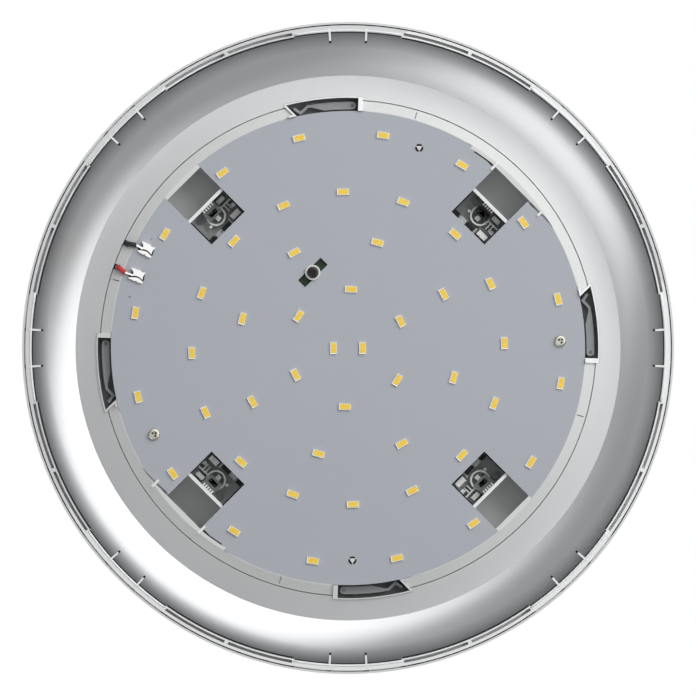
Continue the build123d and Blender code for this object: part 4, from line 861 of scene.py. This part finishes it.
# %% World
WORLD_FILL = 0.43
world = bpy.data.worlds.new("studio")
bpy.context.scene.world = world
world.use_nodes = True
tree = world.node_tree
tree.nodes.clear()
path = add_node(tree, "ShaderNodeLightPath")
clear = add_node(tree, "ShaderNodeMath",
                 {0: path.outputs["Is Camera Ray"], 1: path.outputs["Is Transmission Ray"]},
                 operation="MAXIMUM")
seen = add_node(tree, "ShaderNodeMath", {0: clear.outputs[0], 1: path.outputs["Is Glossy Ray"]},
                operation="MAXIMUM")
fill = add_node(tree, "ShaderNodeBackground", {"Color": (1, 1, 1, 1), "Strength": WORLD_FILL})
ground = add_node(tree, "ShaderNodeBackground", {"Color": (1, 1, 1, 1), "Strength": 1.0})
either = add_node(tree, "ShaderNodeMixShader",
                  {0: seen.outputs[0], 1: fill.outputs[0], 2: ground.outputs[0]})
add_node(tree, "ShaderNodeOutputWorld", {"Surface": either.outputs[0]})
print("world fill", WORLD_FILL)

# %% [markdown]
# ## Lamps
# A lamp's power in watts says little about how bright its face looks. We set the radiance of
# the face instead and work out the power from it and from the lamp's area. The key is two
# lamps in one place: one lights the matte surfaces, the other is seen in the glossy ones.

# %% Lamps
KEY_DIRECTION = (0.5, -0.5, -0.707)
ANSWER_DIRECTION = (-0.61, 0.61, -0.505)
BACK_DIRECTION = (-0.4, -0.5, 0.77)
LAMP_DISTANCE, CARD_DISTANCE = 2.0, 2.1
KEY_SIZE, KEY_RADIANCE = 1.6, 3.7
CARD_SIZE, CARD_RADIANCE = 3.8, 1.75
ANSWER_SIZE, ANSWER_RADIANCE = 1.8, 1.35
BACK_SIZE, BACK_RADIANCE = 2.0, 1.2


def softbox(name, direction, distance, size, radiance):
    """A square area lamp that looks at the light from this direction."""
    lamp = bpy.data.lights.new(name, "AREA")
    lamp.shape = "SQUARE"
    lamp.size = size
    lamp.energy = radiance * pi * size ** 2
    made = bpy.data.objects.new(name, lamp)
    away = Vector(direction).normalized()
    made.location = away * distance
    made.rotation_euler = away.to_track_quat("Z", "Y").to_euler()
    made.visible_camera = False
    bpy.context.collection.objects.link(made)
    print(name, round(lamp.energy, 1), "W")
    return made


key = softbox("key_softbox", KEY_DIRECTION, LAMP_DISTANCE, KEY_SIZE, KEY_RADIANCE)
key.visible_glossy = False
card = softbox("key_card", KEY_DIRECTION, CARD_DISTANCE, CARD_SIZE, CARD_RADIANCE)
card.visible_diffuse = False
answer = softbox("answer_softbox", ANSWER_DIRECTION, LAMP_DISTANCE, ANSWER_SIZE, ANSWER_RADIANCE)
answer.visible_diffuse = False
softbox("back_softbox", BACK_DIRECTION, LAMP_DISTANCE, BACK_SIZE, BACK_RADIANCE)

# %% [markdown]
# ## Floor
# The floor is a very large sheet of pale paper, far enough below the camera to stay out of the
# way. The camera sees it as plain white, and every other ray sees a pale matte surface.

# %% Floor
FLOOR_HEIGHT = -12.6
FLOOR_HALF_WIDTH = 480.0
floor_mesh = bpy.data.meshes.new("studio_floor")
sheet = bmesh.new()
bmesh.ops.create_grid(sheet, x_segments=1, y_segments=1, size=FLOOR_HALF_WIDTH)
sheet.to_mesh(floor_mesh)
sheet.free()
floor = bpy.data.objects.new("studio_floor", floor_mesh)
floor.location = (0, 0, FLOOR_HEIGHT)
bpy.context.collection.objects.link(floor)
floor_finish, tree, output, place = new_finish("pale_studio_paper")
path = add_node(tree, "ShaderNodeLightPath")
paper = add_node(tree, "ShaderNodeBsdfDiffuse", {"Color": linear("#E8E8E8")})
white = add_node(tree, "ShaderNodeEmission", {"Color": (1, 1, 1, 1), "Strength": 1.0})
either = add_node(tree, "ShaderNodeMixShader", {0: path.outputs["Is Camera Ray"], 1: paper.outputs[0],
                                                2: white.outputs[0]})
tree.links.new(either.outputs[0], output.inputs["Surface"])
floor_mesh.materials.append(floor_finish)
print("floor at", FLOOR_HEIGHT, "m")

# %% [markdown]
# ## Picture settings
# The picture uses the Standard view, so that a colour shows as it is written.

# %% Picture settings
bpy.context.scene.view_settings.view_transform = "Standard"
